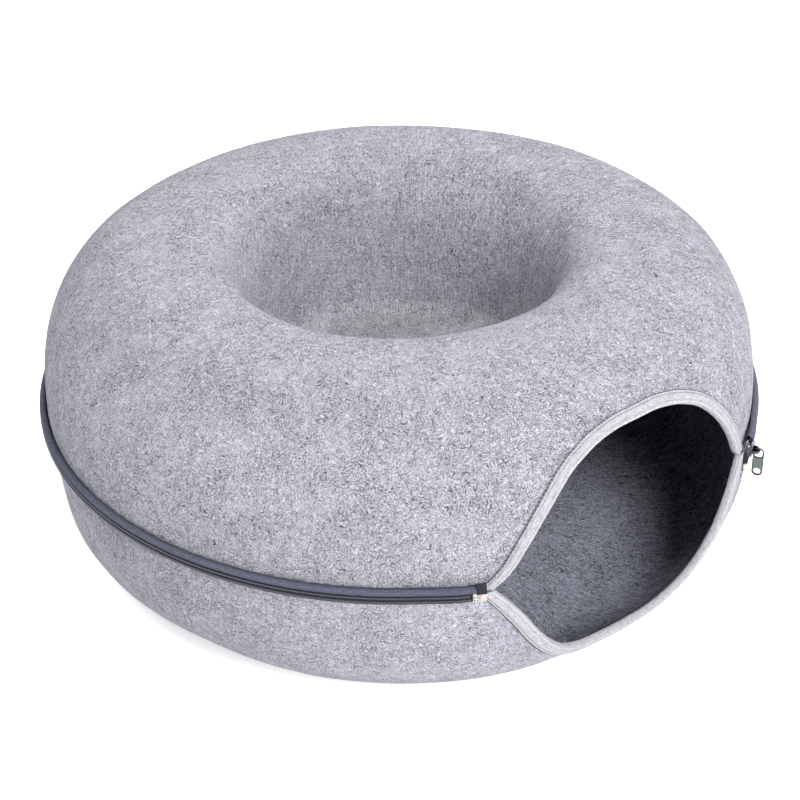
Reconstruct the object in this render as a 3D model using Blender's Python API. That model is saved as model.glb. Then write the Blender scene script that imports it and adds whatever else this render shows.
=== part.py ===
"""Cat cave bed: two moulded felt shells that a zip joins round the middle.

Units are metres and +Z is up. The origin is the middle of the flat base. The entrance, an
eye-shaped cut across the zip, faces -Y. Angles are degrees from -Y, positive towards +X.
"""

import math
from typing import NamedTuple

import bmesh
import bpy
import numpy as np
from mathutils import Vector

# Felt shells
FELT = 0.004  # thickness of the moulded felt
SEAM_HEIGHT = 0.112  # where the two shells meet, and where both are widest
SEAM_GAP = 0.003  # between the two felt rims, closed by the zip
UPPER_RADIUS = 0.250
LOWER_RADIUS = 0.2515
HEIGHT = 0.2185
CREST_RADIUS = 0.158  # radius of the highest line of the ring
SHOULDER_POWER = 2.5  # squareness of the outer shoulder, 2 is an ellipse
WELL_MOUTH_POWER = 3.0
WELL_THROAT_RADIUS = 0.107
WELL_THROAT_HEIGHT = 0.150
WELL_FLOOR_RADIUS = 0.110
WELL_FLOOR_HEIGHT = 0.094
WELL_CORNER = 0.012  # soft corner between the well's wall and floor
BASE_RADIUS = 0.170
BASE_POWER = 2.75

# Entrance: the lips run from corner to corner, symmetric about -Y
HALF_ANGLE = 26.0


class LipRow(NamedTuple):
    share: float  # of HALF_ANGLE
    rise: float  # of the upper lip above the seam
    drop: float  # of the lower lip below the seam


LIP_ROWS = (
    LipRow(0.00, 0.0790, 0.0800),
    LipRow(0.20, 0.0780, 0.0800),
    LipRow(0.40, 0.0723, 0.0770),
    LipRow(0.55, 0.0630, 0.0667),
    LipRow(0.70, 0.0450, 0.0470),
    LipRow(0.80, 0.0280, 0.0295),
    LipRow(0.90, 0.0105, 0.0145),
    LipRow(1.00, 0.0, 0.0),
)

# Binding folded over each lip
BINDING = 0.0008  # thickness of the tape
BINDING_WIDTH = 0.0080  # how far it reaches over each face of the felt
BINDING_GAP = 0.0006
BINDING_END = 0.0002  # its end stops this far from the seam
WIDEST_MITRE = 0.7  # least sine that widens the binding's cut end

# Zip
ZIP_START = -26.9  # the tape's first end, at the left corner
COIL_START = -28.6
COIL_END = 28.0
TAPE_END = 28.95
LOWER_TAPE_START = 30.0  # both ends of the tape inside
COIL_HALF = 0.0029  # half the width of the closed coil
COIL_INSIDE = 0.0030  # radius of the coil's back, over UPPER_RADIUS
COIL_THICKNESS = 0.0024
TAPE = 0.0007
TAPE_EDGE = 0.0060  # height of the upper tape's sewn edge over the seam
TAPE_OFF_FELT = 0.0005
TAPE_TUCK = 0.0120  # how far the lower tape reaches down inside
END_LIFT = 0.0015  # the zip's ends ride over the bindings
LIFT_FULL = 29.5
LIFT_NONE = 36.0
CLEAR = 0.0003

# Slider, pull, pins and stop
SLIDER_ANGLE = 27.6
SLIDER_LENGTH = 0.0105
SLIDER_HEIGHT = 0.0084
PLATE = 0.0009
SLIDER_NOSE = 0.0040  # the closed end that parts the two rows
CHANNEL_CLEAR = 0.0004
BRIDGE_WIDTH = 0.0026
BRIDGE_CLEARANCE = 0.0029
BRIDGE_INSET = 0.0008
BRIDGE_SLOPE = 0.0016
PULL_LENGTH = 0.0215
PULL_WIDTH = 0.0072
PULL_THICKNESS = 0.0012
PULL_RIM = 0.0011
PULL_CORNER = 0.0034
PULL_LEAN = 1.5
WINDOW_HEIGHT = 0.0060
WINDOW_CORNER = 0.0010
WINDOW_SLACK = 0.0007  # between the bridge and the window's top
EYE_WIDTH = 0.0044
EYE_HEIGHT = 0.0042
EYE_CORNER = 0.0020
EYE_RISE = 0.0038  # middle of the eye over the pull's foot
PIN_ANGLE = -28.10
PIN_SIZE = (0.0036, COIL_THICKNESS, 0.0024)  # along the zip, outwards, up
BOX_ANGLE = -27.17
BOX_SIZE = (0.0040, COIL_THICKNESS + 0.0004, 0.0054)
TAIL_PATH = ((26.05, -0.0026), (25.2, -0.0062), (24.4, -0.0098))  # angle, height over the seam
TAIL_WIDTH = 0.0038
TAIL_SLANT = 49.0  # of its cross line, below the horizontal
STOP_ANGLE = 24.85
STOP_HEIGHT = -0.0078
STOP_SIZE = (0.0022, 0.0014, 0.0024)

# Mesh steps
SECTOR = 60.0  # degrees of finer columns at the entrance
SECTOR_STEPS = 15
BACK_STEPS = 28
DENSE = 200  # points on each curve before it is sampled
LIP_SECTIONS = 29
LIP_CROWDING = 0.9  # 0 spaces the sections evenly, 1 packs them at the corners
LIP_ZONE = 0.098  # arc length from the seam that the lips and bindings reach
LIP_ZONE_STEPS = 9


def clear_scene():
    for obj in list(bpy.data.objects):
        bpy.data.objects.remove(obj, do_unlink=True)


def place(radius, angle, height):
    """World position of a point from its radius, angle and height."""
    turn = math.radians(angle)
    return Vector((radius * math.sin(turn), -radius * math.cos(turn), height))


def superellipse(centre, half_sizes, power, start, end):
    """Dense points (radius, height) of an arc of a superellipse, between angles in degrees."""
    turn = np.radians(np.linspace(start, end, DENSE))
    cos, sin = np.cos(turn), np.sin(turn)
    reach = np.sign(cos) * np.abs(cos) ** (2 / power)
    rise = np.sign(sin) * np.abs(sin) ** (2 / power)
    return np.stack([centre[0] + half_sizes[0] * reach, centre[1] + half_sizes[1] * rise], axis=1)


class Skin:
    """The outer face of a felt shell: radius and height by arc length from the seam."""

    def __init__(self, pieces, side):
        points = np.concatenate(pieces)
        steps = np.linalg.norm(np.diff(points, axis=0), axis=1)
        keep = np.concatenate([[True], steps > 1e-7])
        self.points = points[keep]
        steps = np.linalg.norm(np.diff(self.points, axis=0), axis=1)
        self.arc = np.concatenate([[0.0], np.cumsum(steps)])
        tangent = np.gradient(self.points, self.arc, axis=0)
        tangent /= np.linalg.norm(tangent, axis=1)[:, None]
        self.normals = side * np.stack([tangent[:, 1], -tangent[:, 0]], axis=1)
        self.side = side

    def at(self, arc, depth=0.0):
        """(radius, height) at this arc length, this deep below the face."""
        radius = np.interp(arc, self.arc, self.points[:, 0])
        height = np.interp(arc, self.arc, self.points[:, 1])
        out = np.interp(arc, self.arc, self.normals[:, 0]), np.interp(arc, self.arc, self.normals[:, 1])
        size = math.hypot(*out)
        return radius - depth * out[0] / size, height - depth * out[1] / size

    def arc_at_rise(self, rise):
        """Arc length at this height above or below the seam, on the outer quarter."""
        rises = self.side * (self.points[:DENSE, 1] - SEAM_HEIGHT)
        return float(np.interp(rise, rises, self.arc[:DENSE]))

    def position(self, angle, arc, depth=0.0):
        radius, height = self.at(arc, depth)
        return place(radius, angle, height)


def upper_skin():
    shoulder = superellipse(
        (CREST_RADIUS, SEAM_HEIGHT),
        (UPPER_RADIUS - CREST_RADIUS, HEIGHT - SEAM_HEIGHT),
        SHOULDER_POWER, 0, 90,
    )
    mouth = superellipse(
        (CREST_RADIUS, WELL_THROAT_HEIGHT),
        (CREST_RADIUS - WELL_THROAT_RADIUS, HEIGHT - WELL_THROAT_HEIGHT),
        WELL_MOUTH_POWER, 90, 180,
    )
    corner = superellipse(
        (WELL_FLOOR_RADIUS - WELL_CORNER, WELL_FLOOR_HEIGHT + WELL_CORNER),
        (WELL_CORNER, WELL_CORNER), 2.0, 0, -90,
    )
    middle = np.array([[0.0, WELL_FLOOR_HEIGHT]])
    return Skin([shoulder, mouth, corner, middle], side=1)


def lower_skin():
    bowl = superellipse(
        (BASE_RADIUS, SEAM_HEIGHT),
        (LOWER_RADIUS - BASE_RADIUS, -SEAM_HEIGHT),
        BASE_POWER, 0, 90,
    )
    middle = np.array([[0.0, 0.0]])
    return Skin([bowl, middle], side=-1)


def smooth_table(share, column):
    """A smooth curve through one column of LIP_ROWS, flat at the middle of the entrance."""
    shares = [row.share for row in LIP_ROWS]
    values = [getattr(row, column) for row in LIP_ROWS]
    slopes = np.gradient(values, shares)
    slopes[0] = 0.0
    share = min(abs(share), 1.0)
    row = min(max(int(np.searchsorted(shares, share)) - 1, 0), len(shares) - 2)
    span = shares[row + 1] - shares[row]
    t = (share - shares[row]) / span
    return (
        (2 * t**3 - 3 * t**2 + 1) * values[row]
        + (t**3 - 2 * t**2 + t) * span * slopes[row]
        + (3 * t**2 - 2 * t**3) * values[row + 1]
        + (t**3 - t**2) * span * slopes[row + 1]
    )


def lip_point(skin, share):
    """(angle, arc length) of the lip at this share of the half angle, from -1 to 1."""
    column = "rise" if skin.side > 0 else "drop"
    return share * HALF_ANGLE, skin.arc_at_rise(max(smooth_table(share, column), 0.0))


def lip_shares(count):
    """Shares from corner to corner, closer together where the lip is steep."""
    most = LIP_CROWDING * math.pi / 2
    return [math.sin(turn) / math.sin(most) for turn in np.linspace(-most, most, count)]


def material(name, colour, roughness, metallic=0.0):
    made = bpy.data.materials.new(name)
    made.use_nodes = True
    shader = made.node_tree.nodes["Principled BSDF"]
    shader.inputs["Base Color"].default_value = (*colour, 1.0)
    shader.inputs["Roughness"].default_value = roughness
    shader.inputs["Metallic"].default_value = metallic
    return made


def add_object(name, bm, finish):
    """Turn a bmesh into a named object with outward faces and smooth round sides."""
    bmesh.ops.recalc_face_normals(bm, faces=bm.faces)
    mesh = bpy.data.meshes.new(name)
    bm.to_mesh(mesh)
    bm.free()
    mesh.shade_smooth()
    mesh.set_sharp_from_angle(angle=math.radians(35))
    if finish:
        mesh.materials.append(finish)
    obj = bpy.data.objects.new(name, mesh)
    bpy.context.scene.collection.objects.link(obj)
    return obj


def loft(name, sections, finish):
    """A closed solid through loops of equally many points, capped at both ends."""
    bm = bmesh.new()
    rings = [[bm.verts.new(point) for point in section] for section in sections]
    for first, second in zip(rings, rings[1:]):
        count = len(first)
        for i in range(count):
            j = (i + 1) % count
            bm.faces.new((first[i], first[j], second[j], second[i]))
    bm.faces.new(reversed(rings[0]))
    bm.faces.new(rings[-1])
    bm.normal_update()
    bmesh.ops.triangulate(bm, faces=bm.faces)
    return add_object(name, bm, finish)


def hide_helper(obj):
    obj.hide_render = True
    obj.display_type = "WIRE"


def boolean(obj, other, operation):
    cut = obj.modifiers.new(operation.title(), "BOOLEAN")
    cut.operation = operation
    cut.solver = "EXACT"
    cut.object = other


def felt_shell(name, skin, outer_steps, inner_steps, finish):
    """Spin the felt's section round the axis, with finer columns at the entrance."""
    outer = [skin.at(arc) for arc in shell_arcs(skin, outer_steps)]
    inner = [skin.at(arc, FELT) for arc in shell_arcs(skin, inner_steps)]
    inner[-1] = (0.0, inner[-1][1])
    path = outer[::-1] + inner
    bm = bmesh.new()
    verts = [bm.verts.new(place(radius, -SECTOR / 2, height)) for radius, height in path]
    last = verts + [bm.edges.new(pair) for pair in zip(verts, verts[1:])]
    for span, steps in ((SECTOR, SECTOR_STEPS), (360 - SECTOR, BACK_STEPS)):
        made = bmesh.ops.spin(
            bm, geom=last, cent=(0, 0, 0), axis=(0, 0, 1), angle=math.radians(span), steps=steps
        )
        last = made["geom_last"]
    bmesh.ops.remove_doubles(bm, verts=bm.verts, dist=1e-6)
    return add_object(name, bm, finish)


def shell_arcs(skin, steps):
    """Arc lengths from the rim to the axis: fine beside the lips, then so many steps, then the flat."""
    beside_lips = np.linspace(SEAM_GAP / 2, LIP_ZONE, LIP_ZONE_STEPS + 1)
    beyond = np.linspace(LIP_ZONE, skin.arc[-2], steps + 1)[1:]
    return [float(arc) for arc in (*beside_lips, *beyond, skin.arc[-1])]


def entrance_cutter(upper, lower):
    """A closed tool through the felt at the entrance, square to its face along both lips."""
    reach = 0.030
    depths = (-reach, -0.0005, FELT / 2, FELT + 0.0005, reach)
    bm = bmesh.new()
    columns = []
    for share in lip_shares(LIP_SECTIONS):
        corner = abs(share) > 1 - 1e-6
        lips = []
        for skin in (upper,) if corner else (upper, lower):
            angle, arc = lip_point(skin, share)
            lips.append([bm.verts.new(skin.position(angle, arc, depth)) for depth in depths])
        columns.append(lips)
    for left, right in zip(columns, columns[1:]):
        for face in cutter_faces(left, right):
            bm.faces.new(face)
    bm.normal_update()
    bmesh.ops.triangulate(bm, faces=bm.faces)
    cutter = add_object("entrance_cutter", bm, None)
    hide_helper(cutter)
    return cutter


def cutter_faces(left, right):
    """Faces between two columns of the cutter: its outside, its inside and the two lips."""
    faces = [[left[0][end], right[0][end], right[-1][end], left[-1][end]] for end in (0, -1)]
    for lip in (0, -1):
        for near, far in zip(zip(left[lip], right[lip]), zip(left[lip][1:], right[lip][1:])):
            faces.append([near[0], far[0], far[1], near[1]])
    return [list(dict.fromkeys(face)) for face in faces]


def binding_section(skin, share):
    """The folded tape round the felt's edge: a closed loop of points at one place on the lip."""
    angle, arc = lip_point(skin, share)
    arc = max(arc, BINDING_END)
    radius = skin.at(arc)[0]
    step = 1e-3 if share < 1 else -1e-3
    next_angle, next_arc = lip_point(skin, share + step)
    run = math.radians(next_angle - angle) * radius / step
    rise = (next_arc - arc) / step
    length = math.hypot(run, rise)
    across, up = -rise / length, run / length
    width = BINDING_WIDTH
    if abs(share) > 1 - 1e-6:
        width = BINDING_WIDTH / max(abs(across), WIDEST_MITRE)
        across, up = math.copysign(1.0, share), 0.0
    near = BINDING_GAP
    far = BINDING_GAP + BINDING

    def spot(inwards, depth):
        turn = math.degrees(across * inwards / radius)
        return skin.position(angle + turn, max(arc + up * inwards, BINDING_END), depth)

    back = FELT + near
    deep = FELT + far
    return [
        spot(width, -far),
        spot(width / 2, -far),
        spot(0, -far),
        spot(-far, -near),
        spot(-far, back),
        spot(0, deep),
        spot(width, deep),
        spot(width, back),
        spot(-near, back),
        spot(-near, -near),
        spot(width / 2, -near),
        spot(width, -near),
    ]


def binding(name, skin, finish):
    sections = [binding_section(skin, share) for share in lip_shares(LIP_SECTIONS)]
    return loft(name, sections, finish)


def zip_angles(start, end):
    """Angles of the zip's sections, round the back from start to end, on the felt's columns."""
    columns = np.concatenate(
        [
            np.arange(0, SECTOR / 2, SECTOR / SECTOR_STEPS),
            np.linspace(SECTOR / 2, 360 - SECTOR / 2, BACK_STEPS + 1),
            360 - np.arange(0, SECTOR / 2, SECTOR / SECTOR_STEPS)[:0:-1],
        ]
    )
    first, last, apart = end, 360 + start, 0.7
    inside = [float(angle) for angle in columns if first + apart < angle < last - apart]
    return [first] + inside + [last]


def zip_lift(angle):
    """How far the zip stands off near its two ends, where it crosses the bindings."""
    away = min(abs(angle), 360 - abs(angle))
    share = min(max((LIFT_NONE - away) / (LIFT_NONE - LIFT_FULL), 0.0), 1.0)
    return END_LIFT * share * share * (3 - 2 * share)


def zip_strip(name, section, start, end, finish):
    """Sweep a section of (radius over UPPER_RADIUS, height over the seam) round the bed."""
    sections = [
        [
            place(UPPER_RADIUS + radius + zip_lift(angle) * (radius > 0), angle, SEAM_HEIGHT + height)
            for radius, height in section
        ]
        for angle in zip_angles(start, end)
    ]
    return loft(name, sections, finish)


def coil_section():
    back, front = COIL_INSIDE, COIL_INSIDE + COIL_THICKNESS
    middle = back + 0.6 * COIL_THICKNESS
    return [
        (back, -0.8 * COIL_HALF),
        (back, 0.8 * COIL_HALF),
        (middle, COIL_HALF),
        (front, 0.6 * COIL_HALF),
        (front, -0.6 * COIL_HALF),
        (middle, -COIL_HALF),
    ]


def upper_tape_section():
    """From its sewn edge on the felt the tape swells out to the coil, then runs down behind it."""
    behind = COIL_INSIDE - CLEAR
    under = COIL_HALF + CLEAR
    front = COIL_INSIDE + COIL_THICKNESS - CLEAR
    return [
        (TAPE_OFF_FELT, TAPE_EDGE),
        (TAPE_OFF_FELT + TAPE, TAPE_EDGE + 0.0002),
        (front - 0.0015, TAPE_EDGE - TAPE),
        (front - 0.0002, TAPE_EDGE - 0.0018),
        (front, under + 0.0001),
        (behind, under),
        (behind, 0.0),
        (behind - TAPE, 0.0),
        (behind - TAPE, under + 0.0004),
        (TAPE_OFF_FELT, TAPE_EDGE - 0.0009),
    ]


def lower_tape_section():
    """Behind the coil's lower half, over the lower shell's rim and down its inner face."""
    behind = COIL_INSIDE - CLEAR
    tucked = LOWER_RADIUS - FELT - UPPER_RADIUS - TAPE_OFF_FELT
    top = -0.0004
    rim = CLEAR - SEAM_GAP / 2
    outer_bottom = CLEAR - COIL_HALF
    return [
        (behind, outer_bottom),
        (behind, top),
        (tucked - TAPE, top),
        (tucked - TAPE, -TAPE_TUCK),
        (tucked, -TAPE_TUCK),
        (tucked, rim),
        (behind - TAPE, rim),
        (behind - TAPE, outer_bottom),
    ]


def fitting(name, size, angle, radius, height, finish, bevel=0.0):
    """A small block: size along the zip, outwards and up, centred at radius over UPPER_RADIUS."""
    bm = bmesh.new()
    bmesh.ops.create_cube(bm, size=1.0)
    bmesh.ops.scale(bm, vec=size, verts=bm.verts)
    if bevel:
        bmesh.ops.bevel(
            bm, geom=bm.edges[:], offset=bevel, segments=1, profile=0.5, affect="EDGES", material=-1
        )
    obj = add_object(name, bm, finish)
    obj.location = place(UPPER_RADIUS + radius, angle, SEAM_HEIGHT + height)
    obj.rotation_euler = (0, 0, math.radians(angle))
    return obj


def slider_radii():
    """Radii over UPPER_RADIUS of the slider's faces: back plate, channel, front plate, bridge."""
    channel = COIL_INSIDE + END_LIFT - CHANNEL_CLEAR
    front = COIL_INSIDE + COIL_THICKNESS + END_LIFT + CHANNEL_CLEAR
    bridge = front + PLATE + BRIDGE_CLEARANCE
    return channel - PLATE, channel, front, front + PLATE, bridge, bridge + PLATE


def extruded_outline(name, outline, width, finish):
    """A closed outline of (along the zip, outwards) points, extruded to a height of width."""
    bm = bmesh.new()
    face = bm.faces.new([bm.verts.new((along, -outwards, -width / 2)) for along, outwards in outline])
    made = bmesh.ops.extrude_face_region(bm, geom=[face])
    lifted = [item for item in made["geom"] if isinstance(item, bmesh.types.BMVert)]
    bmesh.ops.translate(bm, vec=(0, 0, width), verts=lifted)
    obj = add_object(name, bm, finish)
    obj.location = place(UPPER_RADIUS, SLIDER_ANGLE, SEAM_HEIGHT)
    obj.rotation_euler = (0, 0, math.radians(SLIDER_ANGLE))
    return obj


def slider(finish):
    """Two plates joined at the entrance end, open to the coil at the other, and a bridge."""
    back, channel, front, face, bridge, bridge_top = slider_radii()
    half = SLIDER_LENGTH / 2
    wedge = SLIDER_NOSE - half
    body = extruded_outline(
        "zip_slider",
        [(-half, back), (half, back), (half, channel), (wedge, channel),
         (wedge, front), (half, front), (half, face), (-half, face)],
        SLIDER_HEIGHT, finish,
    )
    outside = half - BRIDGE_INSET
    inside = outside - PLATE
    root = face - CLEAR
    strap = extruded_outline(
        "bridge_tool",
        [(-outside, root), (-inside, root), (-inside, face), (-inside + BRIDGE_SLOPE, bridge),
         (inside - BRIDGE_SLOPE, bridge), (inside, face), (inside, root), (outside, root),
         (outside, face), (outside - BRIDGE_SLOPE, bridge_top),
         (-outside + BRIDGE_SLOPE, bridge_top), (-outside, face)],
        BRIDGE_WIDTH, None,
    )
    hide_helper(strap)
    boolean(body, strap, "UNION")


def add_outline(curve, points):
    spline = curve.splines.new("POLY")
    spline.points.add(len(points) - 1)
    for point, (x, y) in zip(spline.points, points):
        point.co = (x, y, 0, 1)
    spline.use_cyclic_u = True


def rounded_outline(centre, width, height, corner):
    """A rectangle with round corners as points, corner arcs of 6 points each."""
    points = []
    for quarter, (side, end) in enumerate(((1, 1), (-1, 1), (-1, -1), (1, -1))):
        for step in range(6):
            turn = math.radians(90 * quarter + 18 * step)
            x = centre[0] + side * (width / 2 - corner) + corner * math.cos(turn)
            y = centre[1] + end * (height / 2 - corner) + corner * math.sin(turn)
            points.append((x, y))
    return points


def pull(finish):
    """A flat tab whose window hangs on the bridge, square to the zip, with an eye at its foot.

    Its outline is drawn as (outwards, up) from the top of the window inside the bridge.
    """
    _, _, _, face, bridge, _ = slider_radii()
    middle = (face - bridge) / 2 + CLEAR - PULL_RIM / 2 + PULL_WIDTH / 2
    foot = PULL_RIM - PULL_LENGTH
    curve = bpy.data.curves.new("zip_pull", "CURVE")
    curve.dimensions = "2D"
    curve.fill_mode = "BOTH"
    curve.extrude = PULL_THICKNESS / 2
    tab = ((middle, PULL_RIM - PULL_LENGTH / 2), PULL_WIDTH, PULL_LENGTH, PULL_CORNER)
    window = ((middle, -WINDOW_HEIGHT / 2), PULL_WIDTH - 2 * PULL_RIM, WINDOW_HEIGHT, WINDOW_CORNER)
    eye = ((middle, foot + EYE_RISE), EYE_WIDTH, EYE_HEIGHT, EYE_CORNER)
    for outline in (tab, window, eye):
        add_outline(curve, rounded_outline(*outline))
    curve.materials.append(finish)
    obj = bpy.data.objects.new("zip_pull", curve)
    bpy.context.scene.collection.objects.link(obj)
    hinge_height = SEAM_HEIGHT + BRIDGE_WIDTH / 2 + WINDOW_SLACK
    obj.location = place(UPPER_RADIUS + bridge, SLIDER_ANGLE, hinge_height)
    obj.rotation_euler = (math.radians(90), math.radians(PULL_LEAN), math.radians(SLIDER_ANGLE - 90))


def over_lower_binding():
    """Radius over UPPER_RADIUS just clear of the lower binding's outer face."""
    return LOWER_RADIUS + BINDING_GAP + BINDING + CLEAR - UPPER_RADIUS


def tail(finish):
    """The short tape end past the slider, lying on the lower binding."""
    slant = math.radians(TAIL_SLANT)
    across = math.degrees(TAIL_WIDTH / 2 * math.cos(slant) / UPPER_RADIUS)
    down = TAIL_WIDTH / 2 * math.sin(slant)
    radius = UPPER_RADIUS + over_lower_binding()
    sections = [
        [
            place(radius + out, angle + side * across, SEAM_HEIGHT + height - side * down)
            for side, out in ((-1, 0), (1, 0), (1, TAPE), (-1, TAPE))
        ]
        for angle, height in TAIL_PATH
    ]
    return loft("zip_tail", sections, finish)


def fittings(metal, pale, beige, tape):
    slider(metal)
    pull(metal)
    tail(tape)
    middle = COIL_INSIDE + END_LIFT + COIL_THICKNESS / 2
    apart = (PIN_SIZE[2] + CLEAR + 0.0001) / 2
    fitting("zip_pin_upper", PIN_SIZE, PIN_ANGLE, middle, apart, pale, 0.0004)
    fitting("zip_pin_lower", PIN_SIZE, PIN_ANGLE, middle, -apart, pale, 0.0004)
    fitting("zip_box", BOX_SIZE, BOX_ANGLE, middle + 0.0002, 0.0, beige, 0.0006)
    stop_radius = over_lower_binding() + TAPE + CLEAR + STOP_SIZE[1] / 2 + 0.0001
    fitting("zip_stop", STOP_SIZE, STOP_ANGLE, stop_radius, STOP_HEIGHT, pale, 0.0003)


def main():
    clear_scene()
    felt = material("felt", (0.46, 0.46, 0.51), 0.95)
    binding_tape = material("binding_tape", (0.60, 0.60, 0.60), 0.85)
    slate_tape = material("slate_tape", (0.10, 0.11, 0.15), 0.75)
    coil = material("nylon_coil", (0.06, 0.06, 0.08), 0.45)
    metal = material("gunmetal", (0.22, 0.25, 0.25), 0.35, 1.0)
    pale = material("pale_metal", (0.75, 0.74, 0.68), 0.4, 0.6)
    beige = material("beige_box", (0.62, 0.55, 0.45), 0.5)

    upper, lower = upper_skin(), lower_skin()
    cutter = entrance_cutter(upper, lower)
    boolean(felt_shell("upper_shell", upper, 16, 10, felt), cutter, "DIFFERENCE")
    boolean(felt_shell("lower_shell", lower, 4, 4, felt), cutter, "DIFFERENCE")
    binding("upper_lip_binding", upper, binding_tape)
    binding("lower_lip_binding", lower, binding_tape)
    zip_strip("zip_coil", coil_section(), COIL_START, COIL_END, coil)
    zip_strip("zip_tape_upper", upper_tape_section(), ZIP_START, TAPE_END, slate_tape)
    zip_strip("zip_tape_lower", lower_tape_section(), -LOWER_TAPE_START, LOWER_TAPE_START, slate_tape)
    fittings(metal, pale, beige, slate_tape)


main()
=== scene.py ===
"""Cat cave bed: the looks of the moulded felt shells, the bound entrance and the zip.

Lengths are metres, +Z is up and the entrance faces -Y. Angles are degrees from -Y, positive
towards +X. Arc lengths run over the outer face of a shell, from the seam to the middle.
"""

import math
from typing import NamedTuple

import bmesh
import bpy
import numpy as np
from bpy.props import FloatProperty, FloatVectorProperty, IntProperty, PointerProperty
from bpy.types import Operator, Panel, PropertyGroup
from mathutils import Euler, Matrix, Vector, noise


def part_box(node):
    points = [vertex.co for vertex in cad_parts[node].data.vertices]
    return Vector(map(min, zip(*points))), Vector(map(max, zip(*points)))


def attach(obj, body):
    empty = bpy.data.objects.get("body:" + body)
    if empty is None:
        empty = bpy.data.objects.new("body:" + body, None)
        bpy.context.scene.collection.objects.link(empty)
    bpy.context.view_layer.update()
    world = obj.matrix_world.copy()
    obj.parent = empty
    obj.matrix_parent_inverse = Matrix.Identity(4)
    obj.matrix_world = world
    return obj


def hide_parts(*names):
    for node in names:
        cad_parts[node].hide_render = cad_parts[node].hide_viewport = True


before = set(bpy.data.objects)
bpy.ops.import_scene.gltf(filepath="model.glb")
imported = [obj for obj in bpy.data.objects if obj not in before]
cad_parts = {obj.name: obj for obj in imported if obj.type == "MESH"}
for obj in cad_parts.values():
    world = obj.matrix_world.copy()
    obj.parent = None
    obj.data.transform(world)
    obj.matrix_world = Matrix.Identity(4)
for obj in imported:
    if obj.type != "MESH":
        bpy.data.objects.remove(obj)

bl_info = {
    "name": "Cat Cave Bed",
    "version": (1, 0, 0),
    "blender": (4, 5, 0),
    "location": "View3D > Sidebar > Cat Cave",
    "description": "Builds the felt, bindings, zip and studio of a ring-shaped cat cave bed",
    "category": "Add Mesh",
}

UPPER_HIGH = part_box("upper_shell")[1]
LOWER_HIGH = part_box("lower_shell")[1]
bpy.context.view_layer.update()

UPPER_RADIUS = UPPER_HIGH.y
LOWER_RADIUS = LOWER_HIGH.y
HEIGHT = UPPER_HIGH.z
SEAM_GAP = 0.003
SEAM_HEIGHT = LOWER_HIGH.z + SEAM_GAP / 2
FELT = 0.004
SHOULDER_POWER = 2.5  # superellipse powers of the shells' outlines
MOUTH_POWER = 3.0
BOWL_POWER = 2.75
SWELL_END = 0.25  # arc length beyond which the face doesn't swell
SEAM_FADE = 0.03  # the face is true at the seam and uneven from this arc length on
BASE_FADE = 0.02  # and it is true again on the base, from this height down
PRESS_WIDTH = 0.011  # the felt is pressed thinner this far from its cut edge
SAME = 1e-6  # points nearer than this are one point


class LipRow(NamedTuple):
    share: float  # of the entrance's half angle
    rise: float  # of the upper lip above the seam
    drop: float  # of the lower lip below the seam


LIP_ROWS = (
    LipRow(0.00, 0.0790, 0.0800),
    LipRow(0.20, 0.0780, 0.0800),
    LipRow(0.40, 0.0723, 0.0770),
    LipRow(0.55, 0.0630, 0.0667),
    LipRow(0.70, 0.0450, 0.0462),
    LipRow(0.80, 0.0280, 0.0282),
    LipRow(0.90, 0.0105, 0.0128),
    LipRow(1.00, 0.0, 0.0),
)


class Swell(NamedTuple):
    """A place where the moulded face stands out (or in, if lift is less than 0)."""

    angle: float  # degrees
    height: float
    lift: float
    across: float  # degrees
    up: float


SWELLS = (
    Swell(-64, 0.025, -0.0026, 13, 0.030),
    Swell(-97, 0.035, 0.0018, 9, 0.025),
    Swell(-118, 0.082, -0.0042, 9, 0.026),
    Swell(95, 0.205, 0.0010, 14, 0.030),
    Swell(27, 0.075, 0.0020, 5, 0.030),
    Swell(14, 0.045, 0.0010, 9, 0.030),
)


# ---------------------------------------------------------------- settings


def length_property(name, description, default, low=0.0, high=10.0):
    return FloatProperty(
        name=name, description=description, default=default, min=low, max=high,
        unit="LENGTH", subtype="DISTANCE", precision=5,
    )


def angle_property(name, description, degrees):
    return FloatProperty(
        name=name, description=description, default=math.radians(degrees), subtype="ANGLE"
    )


def colour_property(name, description, default):
    return FloatVectorProperty(
        name=name, description=description, default=default, size=3, min=0.0, max=1.0,
        subtype="COLOR",
    )


def number_property(name, description, default, high=2000.0):
    return FloatProperty(name=name, description=description, default=default, min=0.0, max=high)


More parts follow.
